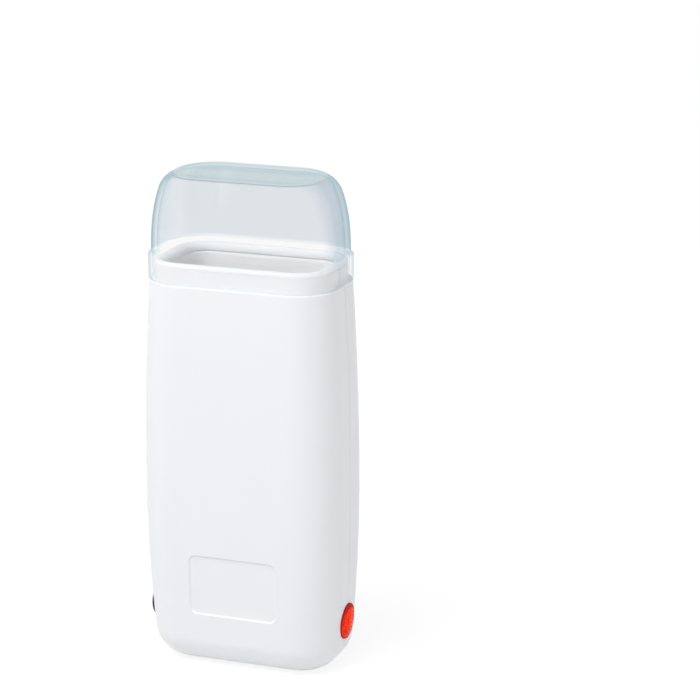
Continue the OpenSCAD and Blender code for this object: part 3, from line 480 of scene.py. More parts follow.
for side in ("width", "depth"):
    edge = f"Top edge {side}"
    ROW_RULE += [
        ("left", "SUBTRACT", edge, "depth"),
        ("left", "MAXIMUM", "left", 0.0),
        ("left", "MULTIPLY", "left", "left"),
        ("square", "MULTIPLY", edge, edge),
        ("left", "SUBTRACT", "square", "left"),
        ("left", "SQRT", "left"),
        (f"edge {side}", "SUBTRACT", edge, "left"),
        ("draw", "POWER", "above", f"Top power {side}"),
        ("draw", "MULTIPLY", "draw", f"Top draw {side}"),
        ("draw", "MULTIPLY_ADD", "below", f"Base draw {side}", "draw"),
        ("draw", "ADD", "draw", "base in"),
        ("draw", "ADD", "draw", "step"),
        ("draw", "ADD", "draw", f"edge {side}"),
        (f"half {side}", "SUBTRACT", f"Half {side}", "draw"),
    ]
ROW_RULE += [
    ("corner", "SUBTRACT", "Corner radius", "base in"),
    ("edges", "ADD", "edge width", "edge depth"),
    ("corner", "MULTIPLY_ADD", "edges", -0.5, "corner"),
    ("limit", "SUBTRACT", "half depth", 0.00001),
    ("corner", "MINIMUM", "corner", "limit"),
    ("corner", "MAXIMUM", "corner", 0.00005),
]
for axis, half in (("x", "half width"), ("y", "half depth")):
    ROW_RULE += [
        (axis, "SUBTRACT", half, "corner"),
        (axis, "MULTIPLY", axis, f"{axis} side"),
        (axis, "MULTIPLY_ADD", f"{axis} arc", "corner", axis),
        (axis, "MULTIPLY", axis, "open"),
    ]
print("rule of the barrel:", len(COLUMN_RULE) + len(ROW_RULE), "steps")


# %% [markdown]
# A tree gets one named input for each size, so that it can be changed in the modifier panel as
# well. The functions below start such a tree and end it.

# %% Start and end of a tree
def new_tree(name, sizes):
    """An empty Geometry Nodes tree with a named input for each size, and its input sockets."""
    tree = bpy.data.node_groups.new(name, "GeometryNodeTree")
    for label, value in sizes.items():
        kind = {int: "NodeSocketInt", float: "NodeSocketFloat"}.get(
            type(value), "NodeSocketObject" if label == "Blank" else "NodeSocketMaterial")
        socket = tree.interface.new_socket(label, in_out="INPUT", socket_type=kind)
        if value is not None:
            socket.default_value = value
    tree.interface.new_socket("Geometry", in_out="OUTPUT", socket_type="NodeSocketGeometry")
    return tree, add(tree, "NodeGroupInput").outputs


def put_out(tree, geometry):
    """Ends a tree: instances are made real, because an export drops them, and a finish is set."""
    real = add(tree, "GeometryNodeRealizeInstances", {"Geometry": geometry}).outputs[0]
    finish_in = next(n for n in tree.nodes if n.type == "GROUP_INPUT").outputs["Finish"]
    dressed = add(tree, "GeometryNodeSetMaterial", {"Geometry": real, "Material": finish_in})
    add(tree, "NodeGroupOutput", {"Geometry": dressed.outputs[0]})


# %% The skin tree
WELD_MM = 0.004
skin, sizes_in = new_tree("Barrel skin", SKIN)
known = {label: sizes_in[label] for label in SKIN}
known = work_out(skin, known, [
    ("across", "ADD", "Corner steps", "Side steps"),
    ("across", "MULTIPLY", "across", 4.0),
    ("across points", "ADD", "across", 1.0),
    ("up", "ADD", "Rows", 2.0),
    ("up points", "ADD", "Rows", 3.0),
])
grid = add(skin, "GeometryNodeMeshGrid",
           {"Size X": known["across"], "Size Y": known["up"],
            "Vertices X": known["across points"], "Vertices Y": known["up points"]}).outputs["Mesh"]
spot = add(skin, "GeometryNodeInputPosition").outputs[0]
spot = add(skin, "ShaderNodeSeparateXYZ", {0: spot})
known["spot x"], known["spot y"] = spot.outputs[0], spot.outputs[1]
known = work_out(skin, known, [
    ("grid x", "MULTIPLY_ADD", "across", 0.5, "spot x"),
    ("grid y", "MULTIPLY_ADD", "up", 0.5, "spot y"),
] + COLUMN_RULE + ROW_RULE)
place = add(skin, "ShaderNodeCombineXYZ",
            {0: known["x"], 1: known["y"], 2: known["z"]}).outputs[0]
moved = add(skin, "GeometryNodeSetPosition", {"Geometry": grid, "Position": place}).outputs[0]
closed = add(skin, "GeometryNodeMergeByDistance",
             {"Geometry": moved, "Distance": WELD_MM * MM}).outputs[0]
add(skin, "NodeGroupOutput", {"Geometry": closed})
print("skin tree:", len(skin.nodes), "nodes")

# %% [markdown]
# ## Sizes of the heater
# These are the CAD model's own sizes, in millimetres. The barrel is widest 64 mm up, draws in
# 2.2 mm to its shoulder and 2.5 mm to its base, whose edge is rounded with a large radius.

# %% Sizes
WALL, NECK_WALL, COVER_WALL = 2.0, 1.5, 1.4
RECTANGLE = ("Half width", "Half depth", "Corner radius")
BARREL = {
    "Half width": 36.4, "Half depth": 21.2, "Corner radius": 14.64,
    "Floor": 0.0, "Low": 0.8, "High": 138.0, "Belly": 64.0, "Draw top": 138.0,
    "Base draw width": 2.5, "Base draw depth": 3.2, "Top draw width": 2.2, "Top draw depth": 0.8,
    "Base edge": 10.5, "Top edge width": 0.5, "Top edge depth": 0.5,
}
NECK = {"Half width": 32.3, "Half depth": 18.8, "Corner radius": 12.24,
        "Floor": 136.0, "Low": 136.0, "High": 143.8}
INLET_Z, INLET_FACE_X = 18.0, 35.41
SCREW_X, SCREW_Z = 14, 7.4
FOOT_X, FOOT_Y = 20, 6.4


def in_metres(sizes):
    """The same sizes in metres; powers and all whole numbers, such as counts, stay as they are."""
    return {label: value if isinstance(value, int) or "power" in label else value * MM
            for label, value in sizes.items()}


def inset(sizes, by, **changes):
    """Sizes of the same form moved inwards, with the changes named as in sizes."""
    smaller = {**sizes, **{label: sizes[label] - by for label in RECTANGLE}}
    smaller.update({label.replace("_", " "): value for label, value in changes.items()})
    return smaller


# %% [markdown]
# ## The two shells
# The real housing is two mouldings that meet on a seam down the narrow sides. It is built the way
# the mould thinks: the outer form with its neck, less the inner form, less the recessed panel,
# the holes for lens and inlet and the seats of the feet, and cut in two at the seam. Mesh Boolean
# nodes do the cutting, and the two shells stay a hair apart so that the seam shows as the fine
# line of the photograph. The screw holes, posts and ribs of the CAD shells aren't repeated here.

# %% Recess cutter
PANEL = {"z": 31.2, "half w": 15.9, "half h": 10.85, "r": 2.5, "recess": 0.45, "soft": 0.8}


def outline(a, b, r, z, steps=20, flat=8):
    """Points of a rounded rectangle at height z, anticlockwise, in millimetres."""
    points = []
    for quarter in range(4):
        here, there = (((1, 1), (-1, 1), (-1, -1), (1, -1))[(quarter + k) % 4] for k in (0, 1))
        for i in range(steps + flat):
            t = RIGHT_ANGLE * (quarter + min(i / steps, 1))
            s = max(i - steps, 0) / flat
            side = [here[k] * (1 - s) + there[k] * s for k in (0, 1)]
            points.append((side[0] * (a - r) + r * math.cos(t),
                           side[1] * (b - r) + r * math.sin(t), z))
    return points


def bands(rings, n, first=0, closed=False):
    """Faces between rings of n points each; closed joins the last ring to the first as well."""
    faces = []
    for i in range(rings if closed else rings - 1):
        low, high = first + i * n, first + (i + 1) % rings * n
        faces += [(low + k, low + (k + 1) % n, high + (k + 1) % n, high + k) for k in range(n)]
    return faces


def mesh_object(name, points, faces, material=None):
    """An object with a mesh of these faces; its points are in millimetres."""
    mesh = bpy.data.meshes.new(name)
    mesh.from_pydata([[c * MM for c in p] for p in points], [], faces)
    if material:
        mesh.materials.append(material)
    piece = bpy.data.objects.new(name, mesh)
    scene.collection.objects.link(piece)
    return piece


def recess_cutter(steps=20, flat=12, rings=10):
    """A plug for the panel's recess: its face follows the wall, and its edge eases out to it."""
    plug = []
    for i in range(rings + 1):
        share = 0.94 * i / rings
        grow = PANEL["soft"] * (share - 0.5)
        depth = PANEL["recess"] * (1 - share * share * (3 - 2 * share))
        plug.append((grow, depth))
    plug.append((plug[-1][0], -5.0))
    points = []
    for grow, depth in plug:
        a, b, r = (PANEL[size] + grow for size in ("half w", "half h", "r"))
        for x, up, _ in outline(a, b, r, 0, steps, flat):
            z = PANEL["z"] + up
            below = (BARREL["Belly"] - z) / BARREL["Belly"]
            y = depth - BARREL["Half depth"] + BARREL["Base draw depth"] * below ** 2
            points.append((x, y, z))
    n = 4 * (steps + flat)
    faces = bands(len(plug), n)
    top, half = steps + flat // 2, flat // 2
    strips = [[top + k for k in range(-half - 1, half + 2)]]
    strips += [[top - k - 1, top - k, top + k, top + k + 1]
               for k in range(half + 1, n // 2 - half - 1)]
    bottom = top + n // 2
    strips.append([bottom + k for k in range(-half - 1, half + 2)])
    faces += [[k % n for k in reversed(strip)] for strip in strips]
    faces.append([(len(plug) - 1) * n + k for k in range(n)])
    return mesh_object("recess_cutter", points, faces)


panel_cutter = recess_cutter()

# %% [markdown]
# A hole is a prism that is laid down and moved to its place. Its free end is a whole number, which
# stays as it is and so lies metres away, well clear of the wall.

# %% Holes in the shells
LENS_HOLES = {"rim": (6.55, 0.0), "barrel": (4.95, -8.0)}
INLET_HOLES = {"flange": (9.2, 6.1, 1.2), "body": (8.5, 5.4, 8.0)}
FOOT_SEAT_R, FOOT_SEAT_H = 3.6, 1.8
HOLES = [((r, r, r, low, 10), 1, (0, RIGHT_ANGLE + LAMP_TILT, 0), (LENS_SEAT_X, 0, LAMP_Z))
         for r, low in LENS_HOLES.values()]
HOLES += [((half_h, half_w, half_h, INLET_FACE_X - deep, 45), 4, (0, -RIGHT_ANGLE, 0),
           (0, 0, INLET_Z)) for half_w, half_h, deep in INLET_HOLES.values()]
HOLES += [((FOOT_SEAT_R, FOOT_SEAT_R, FOOT_SEAT_R, -1, FOOT_SEAT_H), 1, (0, 0, 0), (x, y, 0))
          for x in (-FOOT_X, FOOT_X) for y in (-FOOT_Y, FOOT_Y)]
print("holes in the shells:", len(HOLES))

# %% Shell tree
SEAM_GAP, BLOCK = 0.12, 0.2
SHELL = {"Side": 1.0, "Seam gap": SEAM_GAP * MM, "Finish": None}
shell_tree, shell_in = new_tree("Housing shell", SHELL)


def form(tree, sizes, **counts):
    """The skin group with these sizes, in millimetres."""
    node = add(tree, "GeometryNodeGroup", node_tree=skin)
    for label, value in in_metres({**sizes, **counts}).items():
        node.inputs[label.replace("_", " ")].default_value = value
    return node.outputs[0]


def lying(half_w, half_h, radius, low, high):
    """Sizes of a prism with rounded corners, still upright."""
    return {"Half width": half_w, "Half depth": half_h, "Corner radius": radius,
            "Floor": low, "Low": low, "High": high, "Base edge": 0.05,
            "Top edge width": 0.05, "Top edge depth": 0.05}


outer = form(shell_tree, BARREL, Rows=180, Corner_steps=28, Side_steps=10)
neck = form(shell_tree, NECK, Rows=12, Corner_steps=28)
body = add(shell_tree, "GeometryNodeMeshBoolean", {"Mesh 2": [outer, neck]},
           operation="UNION", solver="MANIFOLD").outputs[0]
hollow = inset(BARREL, WALL, Low=BARREL["Low"] + WALL, High=BARREL["High"] - WALL)
throat = inset(NECK, NECK_WALL, Floor=134.0, Low=134.0, High=150.0)
cuts = [form(shell_tree, hollow, Rows=80), form(shell_tree, throat, Rows=12),
        add(shell_tree, "GeometryNodeObjectInfo", {"Object": panel_cutter}).outputs["Geometry"]]
for sizes, side_steps, turn, place in HOLES:
    hole = form(shell_tree, lying(*sizes), Rows=12, Side_steps=side_steps)
    cuts.append(add(shell_tree, "GeometryNodeTransform",
                    {"Geometry": hole, "Rotation": turn,
                     "Translation": tuple(c * MM for c in place)}).outputs[0])
for cut in cuts:
    body = add(shell_tree, "GeometryNodeMeshBoolean", {"Mesh 1": body, "Mesh 2": cut},
               operation="DIFFERENCE", solver="MANIFOLD").outputs[0]

middle = work_out(shell_tree, {label: shell_in[label] for label in SHELL}, [
    ("gap", "MULTIPLY", "Seam gap", 0.5),
    ("middle", "ADD", "gap", BLOCK / 2),
    ("middle", "MULTIPLY", "middle", "Side"),
])["middle"]
middle = add(shell_tree, "ShaderNodeCombineXYZ", {1: middle}).outputs[0]
block = add(shell_tree, "GeometryNodeMeshCube", {"Size": (BLOCK, BLOCK, 2 * BLOCK)}).outputs["Mesh"]
block = add(shell_tree, "GeometryNodeTransform",
            {"Geometry": block, "Translation": middle}).outputs[0]
half = add(shell_tree, "GeometryNodeMeshBoolean", {"Mesh 2": [body, block]},
           operation="INTERSECT", solver="MANIFOLD").outputs[0]
put_out(shell_tree, half)


# %% [markdown]
# A tree becomes a piece when its evaluated result is copied into a plain mesh and the modifier is
# taken off. The mesh is shaded smooth, with an edge kept sharp wherever two faces meet at more
# than 30 degrees, or 12 on the faceted lens.

# %% Making a piece from a tree
def made(name, tree, sharp=30, **sizes):
    """A plain mesh object from a tree; sizes are set by the identifiers of their sockets."""
    piece = bpy.data.objects.new(name, bpy.data.meshes.new(name))
    scene.collection.objects.link(piece)
    modifier = piece.modifiers.new("shape", "NODES")
    modifier.node_group = tree
    sockets = {item.name: item.identifier for item in tree.interface.items_tree
               if item.item_type == "SOCKET" and item.in_out == "INPUT"}
    for label, value in sizes.items():
        modifier[sockets[label.replace("_", " ")]] = value
    shaped = piece.evaluated_get(bpy.context.evaluated_depsgraph_get())
    result = bpy.data.meshes.new_from_object(shaped)
    piece.modifiers.remove(modifier)
    piece.data = result
    smooth(piece, sharp)
    return piece


def smooth(piece, angle=30):
    """Smooth shading, with an edge kept sharp where faces meet at more than the angle."""
    piece.data.shade_smooth()
    piece.data.set_sharp_from_angle(angle=math.radians(angle))
    print(f"{piece.name}: {len(piece.data.vertices)} points, {len(piece.data.polygons)} faces")


def settle(piece, body, slot, *nodes):
    """The piece rides on a body and stands for CAD nodes, which it hides; the slot is not used."""
    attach(piece, body)
    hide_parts(*nodes)


for name, side, node in (("housing_front", -1.0, "front_shell"),
                         ("housing_rear", 1.0, "rear_shell")):
    shell = made(name, shell_tree, Side=side, Finish=FINISHES["shell_white"])
    settle(shell, "heater", "shell_white", node)
bpy.data.objects.remove(panel_cutter)

# %% [markdown]
# ## Well liner and clear cover
# Both are cups, one with its mouth up and one with its mouth down: an outer form less an inner
# one, which is marked as the inside. The cover stands on the shoulder with a straight skirt, steps
# in above it, and leans inwards to a flat top with a rounded edge, larger on the narrow sides than
# at the front.

# %% Cup tree
CUP = {f"{part} {label}": value for part in ("Outer", "Inner") for label, value in SKIN.items()}
CUP["Finish"] = None
cup_tree, cup_in = new_tree("Cup", CUP)
halves = []
for part in ("Outer", "Inner"):
    node = add(cup_tree, "GeometryNodeGroup",
               {label: cup_in[f"{part} {label}"] for label in SKIN}, node_tree=skin)
    marked = add(cup_tree, "GeometryNodeStoreNamedAttribute",
                 {"Geometry": node.outputs[0], "Name": "inside", "Value": float(part == "Inner")},
                 data_type="FLOAT", domain="FACE")
    halves.append(marked.outputs[0])
cup = add(cup_tree, "GeometryNodeMeshBoolean", {"Mesh 1": halves[0], "Mesh 2": halves[1]},
          operation="DIFFERENCE", solver="MANIFOLD").outputs[0]
put_out(cup_tree, cup)


def cup_sizes(outer, inner):
    """The sizes of both forms in metres, labelled as the cup tree's inputs are."""
    return {f"{part} {label}": value
            for part, sizes in (("Outer", outer), ("Inner", inner))
            for label, value in in_metres(sizes).items()}


# %% Liner
LINER = {"Half width": 29.1, "Half depth": 17.1, "Corner radius": 8.6,
         "Floor": 30.4, "Low": 30.4, "High": 142.3}
CAVITY = {"Half width": 27.5, "Half depth": 15.5, "Corner radius": 7.0,
          "Floor": 32.0, "Low": 32.0, "High": 150.0, "Base edge": 2.0,
          "Step height": 141.9, "Step rise": 0.4, "Step width": -0.4, "Rows": 240}
liner = made("liner", cup_tree, Finish=FINISHES["liner_white"], **cup_sizes(LINER, CAVITY))
settle(liner, "heater", "liner_white", "well_liner")

# %% Cover
COVER = {
    "Half width": 34.5, "Half depth": 20.7, "Corner radius": 14.94,
    "Floor": COVER_FOOT, "Low": COVER_FOOT, "High": COVER_TOP, "Belly": COVER_STEP + 1,
    "Draw top": COVER_TOP,
    "Top draw width": 4.0, "Top draw depth": 4.9, "Top power width": 3.0, "Top power depth": 1.85,
    "Base edge": 0.3, "Top edge width": 6.0, "Top edge depth": 3.6,
    "Step height": COVER_STEP, "Step rise": 1.0, "Step width": 0.8,
    "Rows": 180, "Corner steps": 28, "Side steps": 10,
}
COVER_INSIDE = inset(COVER, COVER_WALL, Floor=137.0, Low=137.0, High=COVER_TOP - COVER_ROOF,
                     Step_width=1.2, Top_edge_width=2.2, Top_edge_depth=0.6)
cover = made("cover", cup_tree, Finish=FINISHES["clear_plastic"], **cup_sizes(COVER, COVER_INSIDE))
settle(cover, "cover", "clear_plastic", "clear_cover")


# %% [markdown]
# ## Rim ring
# A white ring closes the gap between the liner and the neck and gives the well its soft, rounded
# lip. Its section is swept round the well, widening from the well's outline to the neck's, so it is
# made as rows of points, one for each point of the section.

# %% Rim
def swept(name, rings, material):
    """A closed band through rings of points that return to the first one."""
    n = len(rings[0])
    points = [p for ring in rings for p in ring]
    piece = mesh_object(name, points, bands(len(rings), n, closed=True), material)
    smooth(piece)
    return piece


def between(u, z):
    """A ring between the well's outline (u = 0) and the neck's (u = 1)."""
    a, b, r = (CAVITY[label] + u * (NECK[label] - CAVITY[label]) for label in RECTANGLE)
    return outline(a, b, r, z)


def quarter_turn(steps, first=0):
    """The angles from nought to a right angle in even steps."""
    return [RIGHT_ANGLE * i / steps for i in range(first, steps + 1)]


NECK_TOP, LINER_TOP, CREST, CREST_U = NECK["High"], LINER["High"], 145.4, 0.55
LIP, LIP_U = 0.4, 0.09
LIP_TOP = LINER_TOP + LIP
ARC, LIP_ARC = 14, 6
RIM_FOOT = (30.65, 17.15, 10.59)
section = [outline(*RIM_FOOT, LINER_TOP), outline(*RIM_FOOT, NECK_TOP)]
section += [between(CREST_U + (1 - CREST_U) * math.cos(t),
                    NECK_TOP + (CREST - NECK_TOP) * math.sin(t)) for t in quarter_turn(ARC)]
section += [between(CREST_U - CREST_U * math.sin(t),
                    LIP_TOP + (CREST - LIP_TOP) * math.cos(t)) for t in quarter_turn(ARC, 1)]
section += [between(LIP_U * (1 - math.cos(t)), LINER_TOP + LIP * (1 - math.sin(t)))
            for t in quarter_turn(LIP_ARC, 1)]
rim = swept("rim", section, FINISHES["rim_white"])
settle(rim, "heater", "rim_white", "rim_ring")

# %% [markdown]
# ## Lamp lens
# The lens is a turned form: a flat rim on the wall, a low dome, and a barrel that reaches through
# the wall to the neon lamp. Its blank is spun from the profile below. The dome of such a lens is
# moulded with small facets that spread the lamp's light, and a Geometry Nodes tree sets them on it.

# %% Lens blank
def turned(name, profile, steps=96):
    """A solid spun from (radius, height) points about the Z axis; it starts and ends on the axis."""
    rings = [ring for ring in profile if ring[0] > 0]
    points = [(0, 0, profile[0][1])]
    points += [(radius * math.cos(turn), radius * math.sin(turn), height)
               for radius, height in rings
               for turn in (2 * math.pi * k / steps for k in range(steps))]
    points.append((0, 0, profile[-1][1]))
    faces = bands(len(rings), steps, first=1)
    last = 1 + (len(rings) - 1) * steps
    for k in range(steps):
        faces.append((0, 1 + (k + 1) % steps, 1 + k))
        faces.append((len(points) - 1, last + k, last + (k + 1) % steps))
    return mesh_object(name, points, faces)


LENS_R, RIM_T, DOME_H, DOME_R = 6.4, 0.6, 0.8, 5.6
BARREL_R, BORE_R, BARREL_END = 4.8, 3.6, -9.0
DOME_BALL = (DOME_R ** 2 + DOME_H ** 2) / (2 * DOME_H)
DOME_STEPS = 12
profile = [(0, -0.4), (BORE_R, -0.4), (BORE_R, BARREL_END), (BARREL_R, BARREL_END),
           (BARREL_R, 0.0), (LENS_R, 0.0), (LENS_R, RIM_T - 0.2),
           (LENS_R - 0.06, RIM_T - 0.06), (LENS_R - 0.2, RIM_T)]
for i in range(DOME_STEPS):
    radius = DOME_R * (1 - i / DOME_STEPS)
    profile.append((radius, RIM_T + DOME_H - DOME_BALL + math.sqrt(DOME_BALL ** 2 - radius ** 2)))
profile.append((0, RIM_T + DOME_H))
lens_blank = turned("lens_blank", profile)

# %% [markdown]
# The facets are low pyramids in a honeycomb pattern: a grid of points with every second row moved
# by half a pitch. Points outside the dome are left out, and each of the others is lifted on to the
# dome's ball. The pyramids are joined to the blank, so that the lens stays one closed solid.

# %% Faceted lens tree
FACETS = {"Blank": None, "Pitch": 1.5 * MM, "Facet width": 1.4 * MM, "Facet height": 0.32 * MM,
          "Field radius": 4.7 * MM, "Ball": DOME_BALL * MM, "Top": (RIM_T + DOME_H) * MM,
          "Rows": 9, "Finish": None}
lens_tree, lens_in = new_tree("Faceted lens", FACETS)
known = work_out(lens_tree, {label: lens_in[label] for label in FACETS}, [
    ("row pitch", "MULTIPLY", "Pitch", math.sin(math.pi / 3)),
    ("gaps", "SUBTRACT", "Rows", 1.0),
    ("wide", "MULTIPLY", "gaps", "Pitch"),
    ("high", "MULTIPLY", "gaps", "row pitch"),
])
field = add(lens_tree, "GeometryNodeMeshGrid",
            {"Size X": known["wide"], "Size Y": known["high"],
             "Vertices X": lens_in["Rows"], "Vertices Y": lens_in["Rows"]}).outputs["Mesh"]
spot = add(lens_tree, "GeometryNodeInputPosition").outputs[0]
spot = add(lens_tree, "ShaderNodeSeparateXYZ", {0: spot})
known["x"], known["y"] = spot.outputs[0], spot.outputs[1]
known = work_out(lens_tree, known, [
    ("row", "DIVIDE", "y", "row pitch"),
    ("row", "ADD", "row", 20.0),
    ("row", "ROUND", "row"),
    ("odd", "MODULO", "row", 2.0),
    ("aside", "MULTIPLY", "odd", "Pitch"),
    ("x", "MULTIPLY_ADD", "aside", 0.5, "x"),
    ("x square", "MULTIPLY", "x", "x"),
    ("square", "MULTIPLY_ADD", "y", "y", "x square"),
    ("far", "SQRT", "square"),
    ("outside", "GREATER_THAN", "far", "Field radius"),
    ("ball square", "MULTIPLY", "Ball", "Ball"),
    ("left", "SUBTRACT", "ball square", "square"),
    ("left", "SQRT", "left"),
    ("base", "SUBTRACT", "Top", "Ball"),
    ("z", "ADD", "base", "left"),
    ("half height", "MULTIPLY", "Facet height", -0.5),
    ("z", "ADD", "z", "half height"),
    ("corner", "MULTIPLY", "Facet width", 0.5),
])
place = add(lens_tree, "ShaderNodeCombineXYZ",
            {0: known["x"], 1: known["y"], 2: known["z"]}).outputs[0]
field = add(lens_tree, "GeometryNodeSetPosition",
            {"Geometry": field, "Position": place}).outputs[0]
field = add(lens_tree, "GeometryNodeMeshToPoints", {"Mesh": field}).outputs[0]
field = add(lens_tree, "GeometryNodeDeleteGeometry",
            {"Geometry": field, "Selection": known["outside"]}, domain="POINT").outputs[0]
facet = add(lens_tree, "GeometryNodeMeshCone",
            {"Vertices": 6, "Radius Top": 0.0, "Radius Bottom": known["corner"],
             "Depth": known["Facet height"]}).outputs["Mesh"]
facets = add(lens_tree, "GeometryNodeInstanceOnPoints",
             {"Points": field, "Instance": facet}).outputs[0]
facets = add(lens_tree, "GeometryNodeRealizeInstances", {"Geometry": facets}).outputs[0]
blank = add(lens_tree, "GeometryNodeObjectInfo", {"Object": lens_in["Blank"]}).outputs["Geometry"]
joined = add(lens_tree, "GeometryNodeMeshBoolean", {"Mesh 2": [blank, facets]},
             operation="UNION", solver="MANIFOLD").outputs[0]
put_out(lens_tree, joined)

# %% Lens
lens = made("lens", lens_tree, sharp=12, Blank=lens_blank, Finish=FINISHES["lens_red"])
lens.data.transform(Matrix.Translation(Vector((LENS_SEAT_X, 0, LAMP_Z)) * MM)
                    @ Matrix.Rotation(RIGHT_ANGLE + LAMP_TILT, 4, "Y"))
bpy.data.objects.remove(lens_blank)
settle(lens, "heater", "lens_red", "pilot_lens")

# %% [markdown]
# ## Feet and screws
# Four rubber feet are pressed into seats in the base, and two screws from the rear hold the shells
# together. One Geometry Nodes tree sets out copies of a blank on a grid, so that each kind of piece
# is drawn once. A foot has a shallow dish in its sole, as such feet have, and grips by its rim.

# %% Tree that sets out copies
GRID = {"Blank": None, "Across": 0.04, "Along": 0.0, "Columns": 2, "Lines": 1, "Finish": None}
grid_tree, grid_in = new_tree("Copies on a grid", GRID)
points = add(grid_tree, "GeometryNodeMeshGrid",
             {"Size X": grid_in["Across"], "Size Y": grid_in["Along"],
              "Vertices X": grid_in["Columns"], "Vertices Y": grid_in["Lines"]}).outputs["Mesh"]
points = add(grid_tree, "GeometryNodeMeshToPoints", {"Mesh": points}).outputs[0]
blank = add(grid_tree, "GeometryNodeObjectInfo", {"Object": grid_in["Blank"]}).outputs["Geometry"]
copies = add(grid_tree, "GeometryNodeInstanceOnPoints",
             {"Points": points, "Instance": blank}).outputs[0]
put_out(grid_tree, copies)

# %% Feet
FOOT_R, FOOT_TOP, DISH = 3.5, 1.8, 0.25
foot_blank = turned("foot_blank", [
    (0, DISH), (1.2, DISH), (1.9, DISH * 0.7), (2.3, 0.04), (2.5, 0.0), (3.0, 0.0), (3.25, 0.06),
    (3.42, 0.2), (FOOT_R, 0.45), (FOOT_R, FOOT_TOP), (0, FOOT_TOP)], steps=64)
feet = made("feet", grid_tree, Blank=foot_blank, Across=2 * FOOT_X * MM,
            Along=2 * FOOT_Y * MM, Lines=2, Finish=FINISHES["foot_rubber"])
bpy.data.objects.remove(foot_blank)
settle(feet, "heater", "foot_rubber", "rubber_feet")

# %% [markdown]
# A screw has a pan head with a cross recess. Its blank is spun, two bars are taken out of the head,
# and the pair is then laid down along the Y axis.

# %% Screws
SCREW = {"Blank": None, "Slot length": 3.0 * MM, "Slot width": 0.7 * MM, "Slot floor": 4.0 * MM,
         "Finish": None}
BAR_H = 4
screw_tree, screw_in = new_tree("Cross recess", SCREW)
blank = add(screw_tree, "GeometryNodeObjectInfo", {"Object": screw_in["Blank"]}).outputs["Geometry"]
deep = work_out(screw_tree, {"Slot floor": screw_in["Slot floor"]},
                [("middle", "ADD", "Slot floor", BAR_H / 2 * MM)])["middle"]
deep = add(screw_tree, "ShaderNodeCombineXYZ", {2: deep}).outputs[0]
for long, wide in (("Slot length", "Slot width"), ("Slot width", "Slot length")):
    bar = add(screw_tree, "ShaderNodeCombineXYZ",
              {0: screw_in[long], 1: screw_in[wide], 2: BAR_H * MM}).outputs[0]
    bar = add(screw_tree, "GeometryNodeMeshCube", {"Size": bar}).outputs["Mesh"]
    bar = add(screw_tree, "GeometryNodeTransform",
              {"Geometry": bar, "Translation": deep}).outputs[0]
    blank = add(screw_tree, "GeometryNodeMeshBoolean", {"Mesh 1": blank, "Mesh 2": bar},
                operation="DIFFERENCE", solver="MANIFOLD").outputs[0]
put_out(screw_tree, blank)

SHANK_R, HEAD_R, TIP_Y, HEAD_Y, HEAD_TOP = 1.4, 2.5, -9.5, 3.0, 5.0
screw_blank = turned("screw_blank", [
    (0, TIP_Y), (0.9, TIP_Y), (SHANK_R, TIP_Y + 0.7), (SHANK_R, HEAD_Y), (HEAD_R, HEAD_Y),
    (HEAD_R, HEAD_TOP - 0.8), (HEAD_R - 0.15, HEAD_TOP - 0.45), (HEAD_R - 0.5, HEAD_TOP - 0.15),
    (HEAD_R - 1.0, HEAD_TOP), (0, HEAD_TOP)], steps=48)
one_screw = made("one_screw", screw_tree, Blank=screw_blank, Slot_floor=(HEAD_TOP - 1.2) * MM,
                 Finish=FINISHES["screw_steel"])
screws = made("screws", grid_tree, Blank=one_screw, Across=2 * SCREW_X * MM,
              Finish=FINISHES["screw_steel"])
screws.data.transform(Matrix.Translation(Vector((0, 0, SCREW_Z)) * MM)
                      @ Matrix.Rotation(-RIGHT_ANGLE, 4, "X"))
for blank in (screw_blank, one_screw):
    bpy.data.objects.remove(blank)
settle(screws, "heater", "screw_steel", "shell_screws")

# %% [markdown]
# ## Finishes of the CAD pieces that stay
# The inlet, its pins and everything inside the housing keep their CAD shapes, which are right, and
# get the finish of their material slot.

# %% Finishes on CAD nodes
slot_of = {part["node"]: part["material_slot"] for part in frame["record"]["subparts"]}
for node, piece in frame["nodes"].items():
    piece.data.materials.clear()
    piece.data.materials.append(FINISHES[slot_of[node]])

# %% [markdown]
# ## Stage and light
# The photograph has a plain white ground and even, soft light, a little stronger from the front
# left. The world gives the even part. Where the camera looks at the world, it is plain white at a
# strength of one. The floor keeps a faint shadow near the heater and fades to that white further
# off, so that no horizon shows in a low view.

# %% World
def looked_at(tree):
    """One where the camera looks, straight or through a piece or a reflection, and else nought."""
    path = add(tree, "ShaderNodeLightPath").outputs
    known = {ray: path[f"Is {ray} Ray"] for ray in ("Camera", "Glossy", "Transmission")}
    return work_out(tree, known, [
        ("seen", "MAXIMUM", "Camera", "Glossy"),
        ("seen", "MAXIMUM", "seen", "Transmission"),
    ])["seen"]


WORLD_LEVEL = 0.3
world = bpy.data.worlds.new("world")
scene.world = world
world.use_nodes = True
tree = world.node_tree
tree.nodes.clear()
level = add(tree, "ShaderNodeMapRange",
            {"Value": looked_at(tree), "To Min": WORLD_LEVEL, "To Max": 1.0}).outputs[0]
back = add(tree, "ShaderNodeBackground", {"Color": linear("FFFFFF"), "Strength": level}).outputs[0]
add(tree, "ShaderNodeOutputWorld", {"Surface": back})

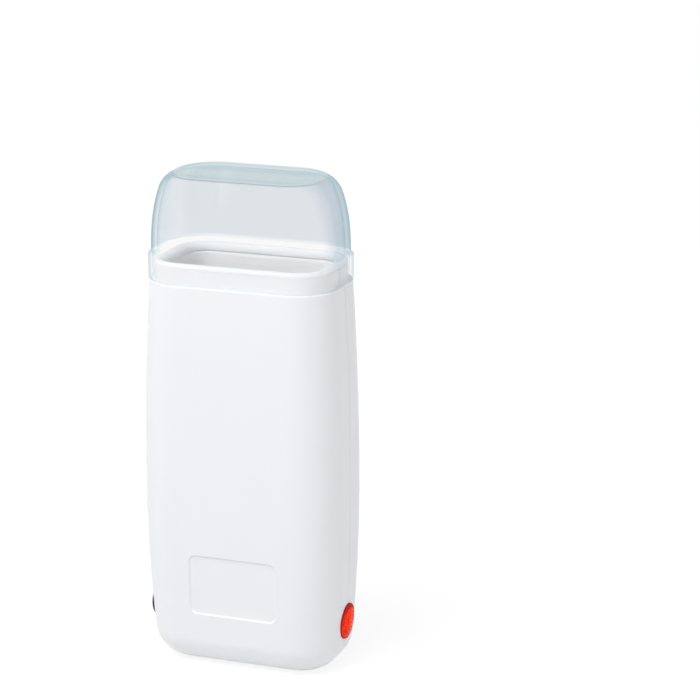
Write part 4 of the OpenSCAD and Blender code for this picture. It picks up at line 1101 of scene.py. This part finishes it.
# %% Floor
FLOOR_SIDE, FADE_FROM, FADE_TO = 3000, 0.35, 0.9
floor_material, tree = empty_material("Floor plain white")
lit = add(tree, "ShaderNodeBsdfDiffuse", {"Color": linear("E6E6E6")}).outputs[0]
shade = add(tree, "ShaderNodeBsdfDiffuse", {"Color": linear("808080")}).outputs[0]
glow, whole = (add(tree, "ShaderNodeEmission",
                   {"Color": linear("FFFFFF"), "Strength": strength}).outputs[0]
               for strength in (0.84, 1.0))
near = add(tree, "ShaderNodeAddShader", {0: shade, 1: glow}).outputs[0]
place = add(tree, "ShaderNodeTexCoord").outputs["Object"]
far = add(tree, "ShaderNodeVectorMath", {0: place}, operation="LENGTH").outputs["Value"]
far = add(tree, "ShaderNodeMapRange",
          {"Value": far, "From Min": FADE_FROM, "From Max": FADE_TO}).outputs[0]
white = add(tree, "ShaderNodeMixShader", {0: far, 1: near, 2: whole}).outputs[0]
surface = add(tree, "ShaderNodeMixShader", {0: looked_at(tree), 1: lit, 2: white}).outputs[0]
add(tree, "ShaderNodeOutputMaterial", {"Surface": surface})
corners = [(x * FLOOR_SIDE, y * FLOOR_SIDE, 0) for x, y in ((-1, -1), (1, -1), (1, 1), (-1, 1))]
floor = mesh_object("floor", corners, [(0, 1, 2, 3)], floor_material)


# %% Lamps
def hang(light, place, target):
    """The light hangs at a place and looks at a target, and isn't seen itself."""
    holder = bpy.data.objects.new(light.name, light)
    scene.collection.objects.link(holder)
    holder.location = place
    holder.rotation_euler = (Vector(place) - Vector(target)).to_track_quat("Z", "Y").to_euler()
    holder.visible_glossy = holder.visible_transmission = holder.visible_camera = False


LAMPS = {
    "key left": ((-0.9, -1.5, 1.35), 2.0, 13.6),
    "key top": ((-0.3, -0.9, 1.9), 1.4, 26.5),
    "side fill": ((1.6, -0.1, 0.15), 0.9, 7.5),
    "rear fill": ((-0.2, 1.7, 0.25), 0.9, 9),
}
for name, (place, size, power) in LAMPS.items():
    light = bpy.data.lights.new(name, "AREA")
    light.size = size
    light.energy = power
    hang(light, place, AIM)

# %% [markdown]
# The rim and the well stand in the shade of the cover's walls and of each other. A narrow spot from
# the front left lifts them, as a photographer would do it, and fades out on the shoulder.

# %% Spot on the well
SPOT_FROM, SPOT_TO = (-0.7, -1.2, 0.95), (0.008, 0.016, 0.148)
spot = bpy.data.lights.new("well spot", "SPOT")
spot.energy = 11
spot.spot_size = math.radians(3.0)
spot.spot_blend = 1.0
spot.shadow_soft_size = 0.06
hang(spot, SPOT_FROM, SPOT_TO)
scene.view_settings.view_transform = "Standard"
